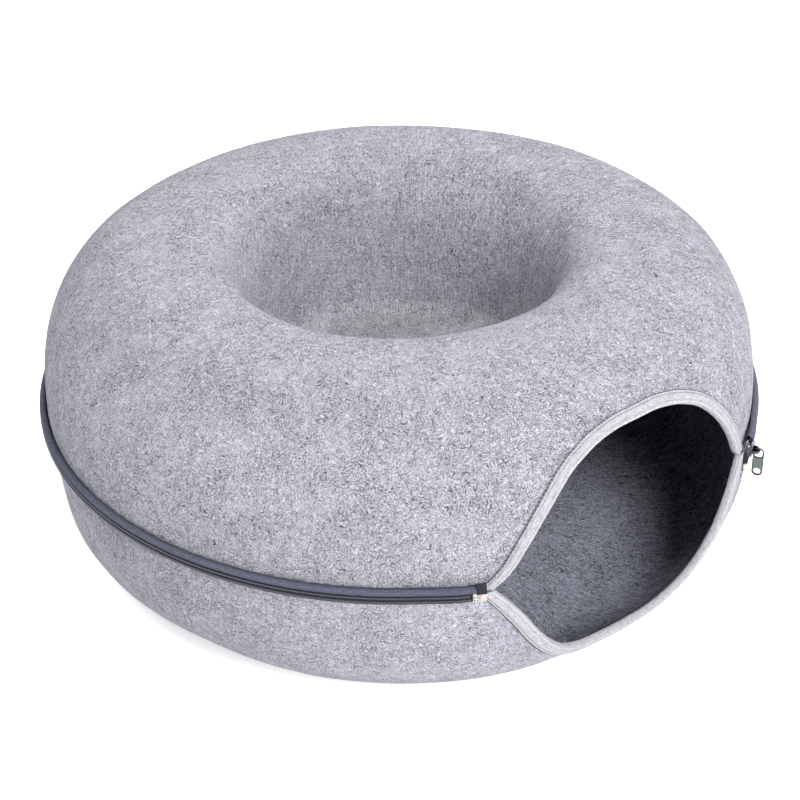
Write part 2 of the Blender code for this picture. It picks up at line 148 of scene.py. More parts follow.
class FeltSettings(PropertyGroup):
    """The two moulded shells"""

    crest_radius: length_property("Crest radius", "Radius of the ring's highest line", 0.158)
    throat_radius: length_property("Throat radius", "Radius of the well at its narrowest", 0.107)
    throat_height: length_property("Throat height", "Height of the well's narrowest line", 0.150)
    floor_radius: length_property("Floor radius", "Radius of the well's floor", 0.110)
    floor_height: length_property("Floor height", "Height of the well's floor", 0.094)
    floor_corner: length_property("Floor corner", "Radius where wall and floor meet", 0.012)
    base_radius: length_property("Base radius", "Radius of the flat base", 0.170)
    unevenness: length_property("Unevenness", "How far the moulded face wanders", 0.0007)
    pressed: number_property("Pressed edge", "Share of the thickness left at the lip", 0.65, 1.0)
    light: colour_property("Light fibre", "Colour of most of the fibres", (0.800, 0.797, 0.922))
    dark: colour_property("Dark fibre", "Colour of the dark fibres", (0.048, 0.052, 0.088))
    warm: colour_property("Warm fibre", "Tint of the warmer patches", (0.792, 0.786, 0.886))
    # painted shade: deep is a bluer tint for the well's walls, standing in for their bluish shade
    deep: colour_property("Deep fibre", "Tint of the well's walls", (0.925, 0.930, 1.0))
    # painted shade: cave is a bluer tint over the whole inner face, standing in for the bluish
    # shade in the cave
    cave: colour_property("Cave fibre", "Tint of the cave's floor and walls", (0.795, 0.818, 1.0))
    # painted shade: shade dulls the cave's colour towards its ceiling
    shade: colour_property("Shaded fibre", "Tint of the cave's ceiling", (0.50, 0.52, 0.51))
    columns: IntProperty(name="Columns", description="Steps round the back", default=200, min=16)
    rows: IntProperty(name="Rows", description="Steps from seam to floor", default=104, min=16)


class EntranceSettings(PropertyGroup):
    """The bound lips of the entrance"""

    half_angle: angle_property("Half angle", "From the middle of the entrance to a corner", 26.0)
    upper_width: length_property("Upper width", "Reach over the upper shell's outer face", 0.0071)
    lower_width: length_property("Lower width", "Reach over the lower shell's outer face", 0.0078)
    binding_inside: length_property("Binding inside", "Reach over the inner face", 0.0078)
    binding_thickness: length_property("Binding thickness", "Thickness of the tape", 0.0006)
    stitch_length: length_property("Stitch length", "Length of one stitch", 0.0020)
    stitch_pitch: length_property("Stitch pitch", "Distance between stitches", 0.0025)
    stitch_inset: length_property("Stitch inset", "From the tape's edge to the seam", 0.0004)
    colour: colour_property("Binding colour", "Colour of the woven tape", (0.43, 0.427, 0.455))
    # the thread is near-black: real stitches, darkened to carry the painted shadow line along the
    # tape's outer edge
    thread: colour_property("Thread colour", "Colour of the sewing thread", (0.06, 0.06, 0.07))


class ZipSettings(PropertyGroup):
    """The zip round the middle"""

    coil_pitch: length_property("Coil pitch", "Distance between two loops of the coil", 0.00142)
    tape_colour: colour_property("Tape colour", "Colour of the twill tape", (0.066, 0.073, 0.106))
    coil_colour: colour_property("Coil colour", "Colour of the nylon coil", (0.165, 0.170, 0.235))
    metal_colour: colour_property("Metal colour", "Colour of the slider", (0.075, 0.070, 0.095))
    pull_colour: colour_property("Pull colour", "Colour of the pull", (0.125, 0.155, 0.155))
    pull_lean: angle_property("Pull lean", "How far the pull's foot swings inwards", -2.5)


class StageSettings(PropertyGroup):
    """Camera, lights and floor"""

    azimuth: angle_property("Azimuth", "Camera's angle from the entrance's axis", -38.0)
    elevation: angle_property("Elevation", "Camera's angle above the horizon", 33.86)
    distance: length_property("Distance", "From the camera to the middle of the bed", 1.100)
    aim_height: length_property("Aim height", "Height that the camera looks at", 0.0823)
    roll: angle_property("Roll", "Turn of the camera about its own axis", -0.46)
    lens: number_property("Lens", "Focal length in millimetres", 67.3)
    shift: FloatProperty(name="Shift", description="Sideways shift of the lens", default=0.001)
    key_power: number_property("Key power", "Watts of the light over the entrance", 41.0)
    side_power: number_property("Side power", "Watts of the light on the right", 28.5)
    fill_power: number_property("Fill power", "Watts of the light behind on the left", 25.0)
    top_power: number_property("Top power", "Watts of the light overhead", 16.0)
    low_power: number_property("Low power", "Watts of the low light in front", 10.5)
    sky: number_property("Sky", "Strength of the even light from all round", 0.02)
    glow: number_property("Glow", "Light from the floor itself, as on a light table", 0.54)
    floor: colour_property("Floor", "Colour of the floor", (0.86, 0.86, 0.86))


# ---------------------------------------------------------------- shape of the shells

DENSE = 200  # points on each curve before it is sampled


def polar(radius, angle, height):
    """A point from its radius, angle in degrees and height."""
    turn = math.radians(angle)
    return Vector((radius * math.sin(turn), -radius * math.cos(turn), height))


def lengths_along(points):
    """Distance from the first point to each of these points, by way of the ones between."""
    return np.concatenate([[0.0], np.cumsum(np.linalg.norm(np.diff(points, axis=0), axis=1))])


def way_along(spots):
    """The same for a list of vectors."""
    steps = [(after - before).length for before, after in zip(spots, spots[1:])]
    return np.concatenate([[0.0], np.cumsum(steps)])


def smoothstep(value):
    share = min(max(value, 0.0), 1.0)
    return share * share * (3 - 2 * share)


def cubic(at, knots, values, slopes):
    """A smooth curve through the values at the knots, with these slopes there."""
    i = min(max(int(np.searchsorted(knots, at)) - 1, 0), len(knots) - 2)
    span = knots[i + 1] - knots[i]
    t = (at - knots[i]) / span
    return (
        (2 * t**3 - 3 * t**2 + 1) * values[i]
        + (t**3 - 2 * t**2 + t) * span * slopes[i]
        + (3 * t**2 - 2 * t**3) * values[i + 1]
        + (t**3 - t**2) * span * slopes[i + 1]
    )


def smooth_path(points, count):
    """Evenly many points on a soft curve through a few (x, y) points."""
    points = np.array(points, float)
    chord = lengths_along(points)
    slopes = np.gradient(points, chord, axis=0)
    return np.array([cubic(at, chord, points, slopes) for at in np.linspace(0, chord[-1], count)])


def superellipse(centre, half_sizes, power, start, end):
    """Dense points (radius, height) of an arc of a superellipse, between angles in degrees."""
    turn = np.radians(np.linspace(start, end, DENSE))
    cos, sin = np.cos(turn), np.sin(turn)
    reach = np.sign(cos) * np.abs(cos) ** (2 / power)
    rise = np.sign(sin) * np.abs(sin) ** (2 / power)
    return np.stack([centre[0] + half_sizes[0] * reach, centre[1] + half_sizes[1] * rise], axis=1)


class Skin:
    """The outer face of a felt shell, by angle and arc length."""

    def __init__(self, curves, side, unevenness):
        points = np.concatenate(curves)
        keep = np.concatenate([[True], np.diff(lengths_along(points)) > 1e-7])
        self.points = points[keep]
        self.arc = lengths_along(self.points)
        tangent = np.gradient(self.points, self.arc, axis=0)
        tangent /= np.linalg.norm(tangent, axis=1)[:, None]
        self.normals = side * np.stack([tangent[:, 1], -tangent[:, 0]], axis=1)
        self.side = side
        self.unevenness = unevenness

    def section(self, arc):
        """(radius, height, outward radius, outward height) at this arc length."""
        radius = np.interp(arc, self.arc, self.points[:, 0])
        height = np.interp(arc, self.arc, self.points[:, 1])
        out = [np.interp(arc, self.arc, self.normals[:, i]) for i in (0, 1)]
        size = math.hypot(*out)
        return radius, height, out[0] / size, out[1] / size

    def bulge(self, angle, arc, radius, height):
        """How far the moulded face stands out here; nothing at the seam and on the base."""
        spot = polar(radius, angle, height)
        wide = noise.noise(spot * 13.0 + Vector((0, 0, 7.0 * self.side)))
        narrow = noise.noise(spot * 37.0)
        lift = self.unevenness * (wide * 1.4 + narrow * 0.5)
        for swell in SWELLS:
            off = (angle - swell.angle + 180) % 360 - 180
            far = (off / swell.across) ** 2 + ((height - swell.height) / swell.up) ** 2
            lift += swell.lift * math.exp(-far / 2) * (arc < SWELL_END)
        return lift * min(arc / SEAM_FADE, 1.0) * min(max(height / BASE_FADE, 0.0), 1.0)

    def spot(self, angle, arc, depth=0.0):
        """World position at this depth under the face."""
        radius, height, out_radius, out_height = self.section(arc)
        off = self.bulge(angle, arc, radius, height) - depth
        return polar(radius + off * out_radius, angle, height + off * out_height)

    def normal(self, angle, arc):
        _, _, out_radius, out_height = self.section(arc)
        return polar(out_radius, angle, out_height)

    def arc_at_rise(self, rise):
        """Arc length at this height above or below the seam, on the outer quarter."""
        rises = self.side * (self.points[:DENSE, 1] - SEAM_HEIGHT)
        return float(np.interp(rise, rises, self.arc[:DENSE]))


def upper_skin(felt):
    crest, throat = felt.crest_radius, felt.throat_radius
    shoulder = superellipse(
        (crest, SEAM_HEIGHT),
        (UPPER_RADIUS - crest, HEIGHT - SEAM_HEIGHT), SHOULDER_POWER, 0, 90,
    )
    mouth = superellipse(
        (crest, felt.throat_height),
        (crest - throat, HEIGHT - felt.throat_height), MOUTH_POWER, 90, 180,
    )
    corner = superellipse(
        (felt.floor_radius - felt.floor_corner, felt.floor_height + felt.floor_corner),
        (felt.floor_corner, felt.floor_corner), 2.0, 0, -90,
    )
    middle = np.array([[0.0, felt.floor_height]])
    return Skin([shoulder, mouth, corner, middle], 1, felt.unevenness)


def lower_skin(felt):
    bowl = superellipse(
        (felt.base_radius, SEAM_HEIGHT),
        (LOWER_RADIUS - felt.base_radius, -SEAM_HEIGHT), BOWL_POWER, 0, 90,
    )
    return Skin([bowl, np.array([[0.0, 0.0]])], -1, felt.unevenness)


def lip_reach(share, column):
    """A smooth curve through one column of LIP_ROWS, level at the middle of the entrance."""
    shares = [row.share for row in LIP_ROWS]
    values = [getattr(row, column) for row in LIP_ROWS]
    slopes = np.gradient(values, shares)
    slopes[0] = 0.0
    return max(cubic(min(abs(share), 1.0), shares, values, slopes), 0.0)


class Lip:
    """The cut edge of one shell at the entrance, from corner (-1) to corner (1)."""

    def __init__(self, skin, half_angle):
        self.skin = skin
        self.half_angle = math.degrees(half_angle)
        self.column = "rise" if skin.side > 0 else "drop"

    def at(self, share):
        """(angle, arc length) of the edge."""
        return share * self.half_angle, self.skin.arc_at_rise(lip_reach(share, self.column))

    def across(self, share):
        """Unit direction (round, over) on the face, square to the edge and into the felt."""
        angle, arc = self.at(share)
        step = 1e-3 if share < 1 else -1e-3
        next_angle, next_arc = self.at(share + step)
        radius = self.skin.section(arc)[0]
        run = math.radians(next_angle - angle) * radius / step
        over = (next_arc - arc) / step
        size = math.hypot(run, over)
        return -over / size, run / size

    def distance(self, angle, arc):
        """How far a point of the shell lies from the cut edge."""
        radius = self.skin.section(arc)[0]
        past = math.radians(abs(angle) - self.half_angle) * radius
        if past > 0:
            return math.hypot(past, arc)
        share = angle / self.half_angle
        return max((arc - self.at(share)[1]) * self.across(share)[1], 0.0)

    def pressed(self, distance, least):
        """Share of the felt's thickness left at this distance from the cut edge."""
        return least + (1.0 - least) * smoothstep(distance / PRESS_WIDTH)

    def spot(self, share, inwards, depth, least=0.0):
        """World position this far from the edge into the felt and this deep under its face."""
        angle, arc = self.at(share)
        arc = max(arc, least)
        radius = self.skin.section(arc)[0]
        round_by, over_by = self.across(share)
        if abs(share) > 1 - SAME:
            round_by, over_by = math.copysign(1.0, share), 0.0
        angle += math.degrees(round_by * inwards / radius)
        return self.skin.spot(angle, max(arc + over_by * inwards, least), depth)


# ---------------------------------------------------------------- mesh helpers


def finish_piece(name, bm, materials, stands_for, sharp=0):
    """Turn a bmesh into a smooth object that rides with the bed; sharp is an angle in degrees."""
    mesh = bpy.data.meshes.new(name)
    bm.to_mesh(mesh)
    bm.free()
    mesh.shade_smooth()
    if sharp:
        mesh.set_sharp_from_angle(angle=math.radians(sharp))
    for made in materials:
        mesh.materials.append(made)
    piece = bpy.data.objects.new(name, mesh)
    bpy.context.scene.collection.objects.link(piece)
    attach(piece, "root")
    if stands_for:
        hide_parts(*stands_for)
    return piece


def cloth_grid(columns, rows, spot, run):
    """A bmesh of a cut sheet: spot(u, v) places each point, run(u, v) is its UV in metres."""
    bm = bmesh.new()
    layer = bm.loops.layers.uv.new("UVMap")
    bmesh.ops.create_grid(bm, x_segments=columns, y_segments=rows, size=0.5, calc_uvs=True)
    for face in bm.faces:
        for loop in face.loops:
            loop[layer].uv = run(loop.vert.co.x + 0.5, loop.vert.co.y + 0.5)
    for vert in bm.verts:
        vert.co = spot(vert.co.x + 0.5, vert.co.y + 0.5)
    bmesh.ops.remove_doubles(bm, verts=bm.verts, dist=SAME)
    return bm


def thicken(piece, thickness, inner_slot=0, group=""):
    """Give a sheet its thickness inwards; the inner face and the rim may look different."""
    wall = piece.modifiers.new("Thickness", "SOLIDIFY")
    wall.thickness = thickness
    wall.vertex_group = group
    wall.offset = -1.0
    wall.use_even_offset = False
    wall.use_quality_normals = True
    wall.material_offset = inner_slot
    wall.material_offset_rim = inner_slot


def turn_at(angle):
    return Matrix.Rotation(math.radians(angle), 4, "Z")


def basis(along, out):
    """A turn whose X runs along, whose Z points out, and whose Y is square to both."""
    x = along.normalized()
    z = (out - out.dot(x) * x).normalized()
    return Matrix((x, z.cross(x), z)).transposed().to_4x4()


def add_copies(bm, template, *places):
    """Add a copy of another bmesh at each of these matrices, and free that bmesh."""
    small = bpy.data.meshes.new("template")
    template.to_mesh(small)
    template.free()
    count = len(small.vertices)
    for place in places:
        bm.from_mesh(small)
        bm.verts.ensure_lookup_table()
        bmesh.ops.transform(bm, matrix=place, verts=bm.verts[-count:])
    bpy.data.meshes.remove(small)
    return bm


# ---------------------------------------------------------------- shader helpers


def add_node(tree, kind, inputs=None, **settings):
    """A node with these settings; each input is set, or linked where it is an output."""
    made = tree.nodes.new(kind)
    for name, value in settings.items():
        setattr(made, name, value)
    for name, value in (inputs or {}).items():
        if isinstance(value, bpy.types.NodeSocket):
            tree.links.new(value, made.inputs[name])
        else:
            made.inputs[name].default_value = value
    return made


def calc(tree, operation, *values, clamp=False):
    inputs = dict(enumerate(values))
    return add_node(tree, "ShaderNodeMath", inputs, operation=operation, use_clamp=clamp).outputs[0]


def remap(tree, value, low, high, to_low=0.0, to_high=1.0):
    inputs = {"Value": value, "From Min": low, "From Max": high}
    inputs.update({"To Min": to_low, "To Max": to_high})
    return add_node(tree, "ShaderNodeMapRange", inputs).outputs["Result"]


def blend_colours(tree, share, *colours):
    """A mix of two colours, each an output or three numbers."""
    inputs = {"Factor": share}
    for index, colour in zip((6, 7), colours):
        known = isinstance(colour, bpy.types.NodeSocket)
        inputs[index] = colour if known else (*colour, 1.0)
    return add_node(tree, "ShaderNodeMix", inputs, data_type="RGBA").outputs[2]


def part_of(tree, vector, axis):
    return add_node(tree, "ShaderNodeSeparateXYZ", {0: vector}).outputs[axis]


def scaled(tree, vector, scale):
    inputs = {0: vector, "Scale": scale}
    return add_node(tree, "ShaderNodeVectorMath", inputs, operation="SCALE").outputs[0]


def object_coordinates(tree):
    return add_node(tree, "ShaderNodeTexCoord").outputs["Object"]


def speckle(tree, vector, scale, detail=2.0, roughness=0.5):
    inputs = {"Vector": vector, "Scale": scale, "Detail": detail, "Roughness": roughness}
    return add_node(tree, "ShaderNodeTexNoise", inputs).outputs["Fac"]


def turned(tree, vector, degrees, stretch, shift=0.0):
    """Turn a vector and then stretch the pattern along its new axes."""
    turn = tuple(math.radians(value) for value in degrees)
    inputs = {"Vector": vector, "Rotation": turn, "Scale": stretch, "Location": (shift,) * 3}
    return add_node(tree, "ShaderNodeMapping", inputs, vector_type="TEXTURE").outputs["Vector"]


def new_group(name, takes, gives):
    """An empty shader group; takes is {name: (type, default)} and gives is {name: type}."""
    tree = bpy.data.node_groups.new(name, "ShaderNodeTree")
    for title, (kind, default) in takes.items():
        socket = tree.interface.new_socket(title, in_out="INPUT", socket_type=kind)
        if default is not None:
            socket.default_value = default
    for title, kind in gives.items():
        tree.interface.new_socket(title, in_out="OUTPUT", socket_type=kind)
    return tree, tree.nodes.new("NodeGroupInput").outputs, tree.nodes.new("NodeGroupOutput").inputs


FLOAT, VECTOR = "NodeSocketFloat", "NodeSocketVector"

# Noise scales are per metre. A pair of limits is where a mask starts and where it is full.
FIBRE_SCALE = 1150.0
INNER_FIBRE_SCALE = 850.0
STREAK_SCALE = 560.0
GRAIN_SCALE = 2200.0
CLOUD_SCALES = (210.0, 45.0)
WARMTH_SCALE = 9.0
BEND_SCALE = 170.0
BEND = 0.006
DARK_LIMITS = (0.60, 0.79)
PALE_LIMITS = (0.60, 0.80)
WARM_LIMITS = (0.40, 0.60)
# painted shade: over these heights the cave's colour turns duller towards its ceiling
CEILING = (0.07, 0.14)  # heights over which the cave turns duller
RIGHT_SIDE = (0.08, 0.18)  # x over which the outside is drawn into streaks too
# painted shade: over this arc length the bluer tint of the well's walls fades in, with the streaks
DEEP_FADE = 0.08  # arc length over which the felt turns deeper
CLOUD_TONES = (0.30, 0.70, 0.85, 1.13)  # two values of the noise, and the tone at each
DARK_SHARES = (0.42, 0.60, 1.3, 0.6)  # the same for the share of dark fibres
LIGHTEST = 1.12  # so that no colour passes 1
FELT_RELIEF = 0.0011
FIBRE_TURNS = ((0, 0, 0), (90, 0, 0), (0, 90, 0), (45, 30, 0), (-45, 20, 60), (20, -50, 20))


def crossed_fibres(tree, vector, scale, shift):
    """Short fibres that lie every way: the strongest of several stretched noises."""
    found = None
    for turn in FIBRE_TURNS:
        fibre = speckle(tree, turned(tree, vector, turn, (1.0, 1.0, 4.5), shift), scale, detail=1.0)
        found = fibre if found is None else calc(tree, "MAXIMUM", found, fibre)
    return found


def heather_group():
    """Pressed felt: dark and pale fibres every way, streaks over the mould, grain and clouds."""
    known = bpy.data.node_groups.get("Heather fibres")
    if known:
        return known
    takes = {"Vector": (VECTOR, None), "Run": (VECTOR, None), "Fibre Scale": (FLOAT, FIBRE_SCALE)}
    gives = dict.fromkeys(("Dark", "Pale", "Streak", "Grain", "Cloud", "Warmth"), FLOAT)
    tree, take, give = new_group("Heather fibres", takes, gives)
    link = tree.links.new
    inputs = {"Vector": take["Vector"], "Scale": BEND_SCALE, "Detail": 1.0}
    bend = add_node(tree, "ShaderNodeTexNoise", inputs).outputs["Color"]
    inputs = {0: take["Vector"], 1: scaled(tree, bend, BEND)}
    bent = add_node(tree, "ShaderNodeVectorMath", inputs).outputs[0]
    dark = crossed_fibres(tree, bent, take["Fibre Scale"], 0.0)
    link(remap(tree, dark, *DARK_LIMITS), give["Dark"])
    pale = crossed_fibres(tree, bent, take["Fibre Scale"], 3.7)
    link(remap(tree, pale, *PALE_LIMITS), give["Pale"])
    along = turned(tree, take["Run"], (0, 0, 0), (1.0, 1.0, 7.0))
    link(remap(tree, speckle(tree, along, STREAK_SCALE), 0.3, 0.7), give["Streak"])
    link(speckle(tree, take["Vector"], GRAIN_SCALE, detail=1.0, roughness=0.6), give["Grain"])
    small = speckle(tree, take["Vector"], CLOUD_SCALES[0])
    wide = speckle(tree, take["Vector"], CLOUD_SCALES[1], detail=3.0)
    half = calc(tree, "MULTIPLY", small, 0.5)
    link(calc(tree, "ADD", half, calc(tree, "MULTIPLY", wide, 0.5)), give["Cloud"])
    link(speckle(tree, take["Vector"], WARMTH_SCALE), give["Warmth"])
    return tree


def weave_group():
    """Fine woven cloth read from a UV map in metres: the threads, and slow changes of tone."""
    known = bpy.data.node_groups.get("Woven threads")
    if known:
        return known
    takes = {
        "Vector": (VECTOR, None), "Pitch": (FLOAT, 0.0005), "Slant": (FLOAT, 0.0),
        "Turnback": (FLOAT, 0.002),
    }
    tree, take, give = new_group("Woven threads", takes, {"Thread": FLOAT, "Tone": FLOAT})
    link = tree.links.new
    split = add_node(tree, "ShaderNodeSeparateXYZ", {0: take["Vector"]}).outputs
    folded = calc(tree, "PINGPONG", split["Y"], take["Turnback"])
    slid = calc(tree, "ADD", split["X"], calc(tree, "MULTIPLY", folded, take["Slant"]))
    turn = calc(tree, "DIVIDE", 2 * math.pi, take["Pitch"])
    warp = calc(tree, "SINE", calc(tree, "MULTIPLY", slid, turn))
    weft = calc(tree, "SINE", calc(tree, "MULTIPLY", split["Y"], turn))
    warp = calc(tree, "MULTIPLY", warp, 0.3)
    threads = calc(tree, "ADD", warp, calc(tree, "MULTIPLY", weft, 0.2))
    link(calc(tree, "ADD", threads, 0.5), give["Thread"])
    inputs = {"Vector": take["Vector"], "Scale": (0.25, 1.0, 1.0)}
    stretched = add_node(tree, "ShaderNodeMapping", inputs).outputs[0]
    link(speckle(tree, stretched, 900.0, detail=3.0, roughness=0.7), give["Tone"])
    return tree


def new_material(name, constants):
    """A material, its node tree and its shader, whose inputs take these constants."""
    made = bpy.data.materials.new(name)
    made.use_nodes = True
    shader = made.node_tree.nodes["Principled BSDF"]
    for title, value in constants.items():
        shader.inputs[title].default_value = value
    return made, made.node_tree, shader


def place_group(tree, group, inputs):
    return add_node(tree, "ShaderNodeGroup", inputs, node_tree=group).outputs


def paint_surface(tree, shader, colour, height, strength, distance):
    """Give the shader its colour and its relief."""
    tree.links.new(colour, shader.inputs["Base Color"])
    inputs = {"Height": height, "Strength": strength, "Distance": distance}
    bump = add_node(tree, "ShaderNodeBump", inputs)
    tree.links.new(bump.outputs["Normal"], shader.inputs["Normal"])


def felt_material(name, felt, streaky, deep_from, contrast, fibre_scale, shaded):
    """Heather felt: light fibres with dark ones among them, cloudy, rough and matt.

    Beyond the arc length deep_from the felt was drawn further over the mould, so its fibres
    lie in streaks; there its colour also takes a bluer tint, painted shade of the well's walls
    outside and of the whole cave inside. On the shaded side the colour turns duller towards
    the ceiling, painted shade too.
    """
    made, tree, shader = new_material(name, {
        "Roughness": 0.95, "Specular IOR Level": 0.15, "Sheen Weight": 0.10, "Sheen Roughness": 0.6,
    })
    spot = object_coordinates(tree)
    run = add_node(tree, "ShaderNodeAttribute", attribute_name="felt_run").outputs["Vector"]
    inputs = {"Vector": spot, "Run": run, "Fibre Scale": fibre_scale}
    fibres = place_group(tree, heather_group(), inputs)
    deep = remap(tree, part_of(tree, run, "Z"), deep_from, deep_from + DEEP_FADE)
    warmth = remap(tree, fibres["Warmth"], *WARM_LIMITS)
    ground = blend_colours(tree, warmth, felt.light, felt.warm)
    # painted shade: a bluer tint over the well's walls outside and over the whole cave inside
    ground = blend_colours(tree, deep, ground, felt.cave if shaded else felt.deep)
    # painted shade: the cave's colour turns duller towards its ceiling
    if shaded:
        high = remap(tree, part_of(tree, spot, "Z"), *CEILING)
        ground = blend_colours(tree, high, ground, felt.shade)
    cloud = remap(tree, fibres["Cloud"], *CLOUD_TONES)
    grain = remap(tree, fibres["Grain"], 0.25, 0.75, 1 - contrast, 1 + contrast * 0.5)
    pale = calc(tree, "MULTIPLY_ADD", fibres["Pale"], contrast * 0.8, 1.0)
    right = remap(tree, part_of(tree, run, "X"), *RIGHT_SIDE)
    drawn = calc(tree, "MAXIMUM", deep, right)
    drawn = calc(tree, "MULTIPLY", calc(tree, "MULTIPLY_ADD", drawn, 0.7, 0.3), streaky)
    streak = calc(tree, "MULTIPLY_ADD", calc(tree, "SUBTRACT", fibres["Streak"], 0.5), drawn, 1.0)
    mottled = calc(tree, "MULTIPLY", cloud, grain)
    tone = calc(tree, "MULTIPLY", mottled, calc(tree, "MULTIPLY", pale, streak))
    tinted = scaled(tree, ground, calc(tree, "MINIMUM", tone, LIGHTEST))
    dense = remap(tree, fibres["Cloud"], *DARK_SHARES)
    dark = calc(tree, "MULTIPLY", fibres["Dark"], dense, clamp=True)
    colour = blend_colours(tree, dark, tinted, felt.dark)
    relief = calc(tree, "ADD", fibres["Grain"], fibres["Pale"])
    relief = calc(tree, "SUBTRACT", relief, fibres["Dark"])
    paint_surface(tree, shader, colour, relief, 1.0, contrast * FELT_RELIEF)
    return made


def banded_tone(tree, across, painted_light_bands):
    """Painted shade and highlights across a tape: a tone of 1, changed in each soft band of
    (middle, half width, change).
    """
    tone = 1.0
    for middle, half_width, change in painted_light_bands:
        off = calc(tree, "ABSOLUTE", calc(tree, "SUBTRACT", across, middle))
        tone = calc(tree, "ADD", tone, remap(tree, off, 0.0, half_width, change, 0.0))
    return tone


def woven_material(name, colour, pitch, slant, turnback, roughness, depth, contrast, painted_light_bands=()):
    """Woven tape: threads, uneven tone and a matt face; given lines of painted shade and highlight
    along it, fine wrinkles too, whose tone is painted shade in their hollows and painted light on
    their ridges.
    """
    constants = {"Roughness": roughness, "Specular IOR Level": 0.3}
    made, tree, shader = new_material(name, constants)
    run = add_node(tree, "ShaderNodeUVMap", uv_map="UVMap").outputs["UV"]
    inputs = {"Vector": run, "Pitch": pitch, "Slant": slant, "Turnback": turnback}
    cloth = place_group(tree, weave_group(), inputs)
    tone = remap(tree, cloth["Tone"], 0.25, 0.75, 1 - contrast, 1 + contrast)
    thread = remap(tree, cloth["Thread"], 0.0, 1.0, 1 - contrast * 0.8, 1 + contrast * 0.8)
    tone = calc(tree, "MULTIPLY", tone, thread)
    relief = cloth["Thread"]
    if painted_light_bands:
        across = part_of(tree, run, "Y")
        tone = calc(tree, "MULTIPLY", tone, banded_tone(tree, across, painted_light_bands))
        crease_and_shade = speckle(tree, object_coordinates(tree), 600.0, detail=3.0, roughness=0.7)
        relief = calc(tree, "MULTIPLY_ADD", crease_and_shade, 5.0, relief)
        # painted shade: the tone follows the wrinkles' relief, darker in their hollows and lighter
        # on their ridges
        tone = calc(tree, "MULTIPLY", tone, remap(tree, crease_and_shade, 0.3, 0.7, 0.80, 1.20))
    paint_surface(tree, shader, scaled(tree, tuple(colour), tone), relief, 0.8, depth)
    return made


def solid_material(name, colour, roughness, metallic=0.0, mottle=0.08, coat=0.0):
    """Metal or plastic with small changes of tone and a few scratches in its gloss."""
    made, tree, shader = new_material(name, {"Metallic": metallic, "Coat Weight": coat})
    speck = speckle(tree, object_coordinates(tree), 900.0, detail=3.0, roughness=0.6)
    tone = remap(tree, speck, 0.3, 0.7, 1 - mottle, 1 + mottle)
    rough = remap(tree, speck, 0.3, 0.7, roughness * 0.8, roughness * 1.2)
    tree.links.new(rough, shader.inputs["Roughness"])
    paint_surface(tree, shader, scaled(tree, tuple(colour), tone), speck, 0.3, 0.00005)
    return made


# ---------------------------------------------------------------- felt shells

SECTOR = 60.0  # degrees of finer columns at the entrance
SECTOR_COLUMNS = 132
MIDDLE_ROWS = 12  # rows over the flat middle
UNCUT_ARC = 0.235  # beyond this arc length the columns aren't drawn up to the lip
NEAR_LIP = 33  # degrees within which the felt may be pressed


def column_angle(u, back_columns):
    """Angle of a share of the way round, with finer steps at the entrance."""
    fine = SECTOR_COLUMNS / (SECTOR_COLUMNS + back_columns)
    if abs(u - 0.5) <= fine / 2:
        return (u - 0.5) / fine * SECTOR
    past = (abs(u - 0.5) - fine / 2) / ((1 - fine) / 2)
    return math.copysign(SECTOR / 2 + past * (180 - SECTOR / 2), u - 0.5)


def shell_sheet(skin, lip, felt):
    """The face of one shell, drawn up to the lip at the entrance, with felt_run on its points."""
    rows = felt.rows if skin.side > 0 else felt.rows // 2
    flat_from = skin.arc[-2]
    seam = SEAM_GAP / 2

    def place(u, v):
        angle = column_angle(u, felt.columns)
        row = v * (rows + MIDDLE_ROWS)
        if row <= rows:
            arc = seam + (flat_from - seam) * row / rows
        else:
            arc = flat_from + (skin.arc[-1] - flat_from) * (row - rows) / MIDDLE_ROWS
        least = lip.at(angle / lip.half_angle)[1] if abs(angle) < lip.half_angle else 0.0
        reach = min(UNCUT_ARC, flat_from)
        if least > seam and arc < reach:
            arc = least + (arc - seam) * (reach - least) / (reach - seam)
        return angle, arc

    def run(u, v):
        angle, arc = place(u, v)
        return math.radians(angle) * UPPER_RADIUS, arc

    columns = SECTOR_COLUMNS + felt.columns
    bm = cloth_grid(columns, rows + MIDDLE_ROWS, lambda u, v: Vector((*place(u, v), 0)), run)
    layer = bm.verts.layers.float_vector.new("felt_run")
    weights = bm.verts.layers.deform.verify()
    for vert in bm.verts:
        angle, arc = vert.co.x, vert.co.y
        vert[layer] = polar(UPPER_RADIUS, angle, arc)
        near = abs(angle) < NEAR_LIP and arc < UNCUT_ARC
        far = lip.distance(angle, arc) if near else PRESS_WIDTH
        vert[weights][0] = lip.pressed(far, felt.pressed)
        vert.co = skin.spot(angle, arc)
    bmesh.ops.remove_doubles(bm, verts=bm.verts, dist=SAME)
    if skin.side < 0:
        bmesh.ops.reverse_faces(bm, faces=bm.faces)
    return bm


class BED_OT_felt_shells(Operator):
    """Build the two moulded felt shells with the entrance cut through both"""

    bl_idname = "cat_cave.felt_shells"
    bl_label = "Felt shells"

    def execute(self, context):
        felt = context.scene.bed_felt
        outside = felt_material("heather_felt", felt, 0.7, 0.24, 1.0, FIBRE_SCALE, False)
        # the inner face is a shaded copy of the same felt: painted shade makes its colour bluer and
        # duller towards the ceiling
        inside = felt_material(
            "heather_felt_inside", felt, 0.9, -DEEP_FADE, 1.2, INNER_FIBRE_SCALE, True
        )
        for name, skin in (("upper", upper_skin(felt)), ("lower", lower_skin(felt))):
            lip = Lip(skin, context.scene.bed_entrance.half_angle)
            bm = shell_sheet(skin, lip, felt)
            area = sum(face.calc_area() for face in bm.faces)
            sides = (outside, inside)
            piece = finish_piece(f"felt_{name}", bm, sides, (f"{name}_shell",))
            piece.vertex_groups.new(name="thickness")
            thicken(piece, FELT, inner_slot=1, group="thickness")
        return {"FINISHED"}


# ---------------------------------------------------------------- bindings and stitches

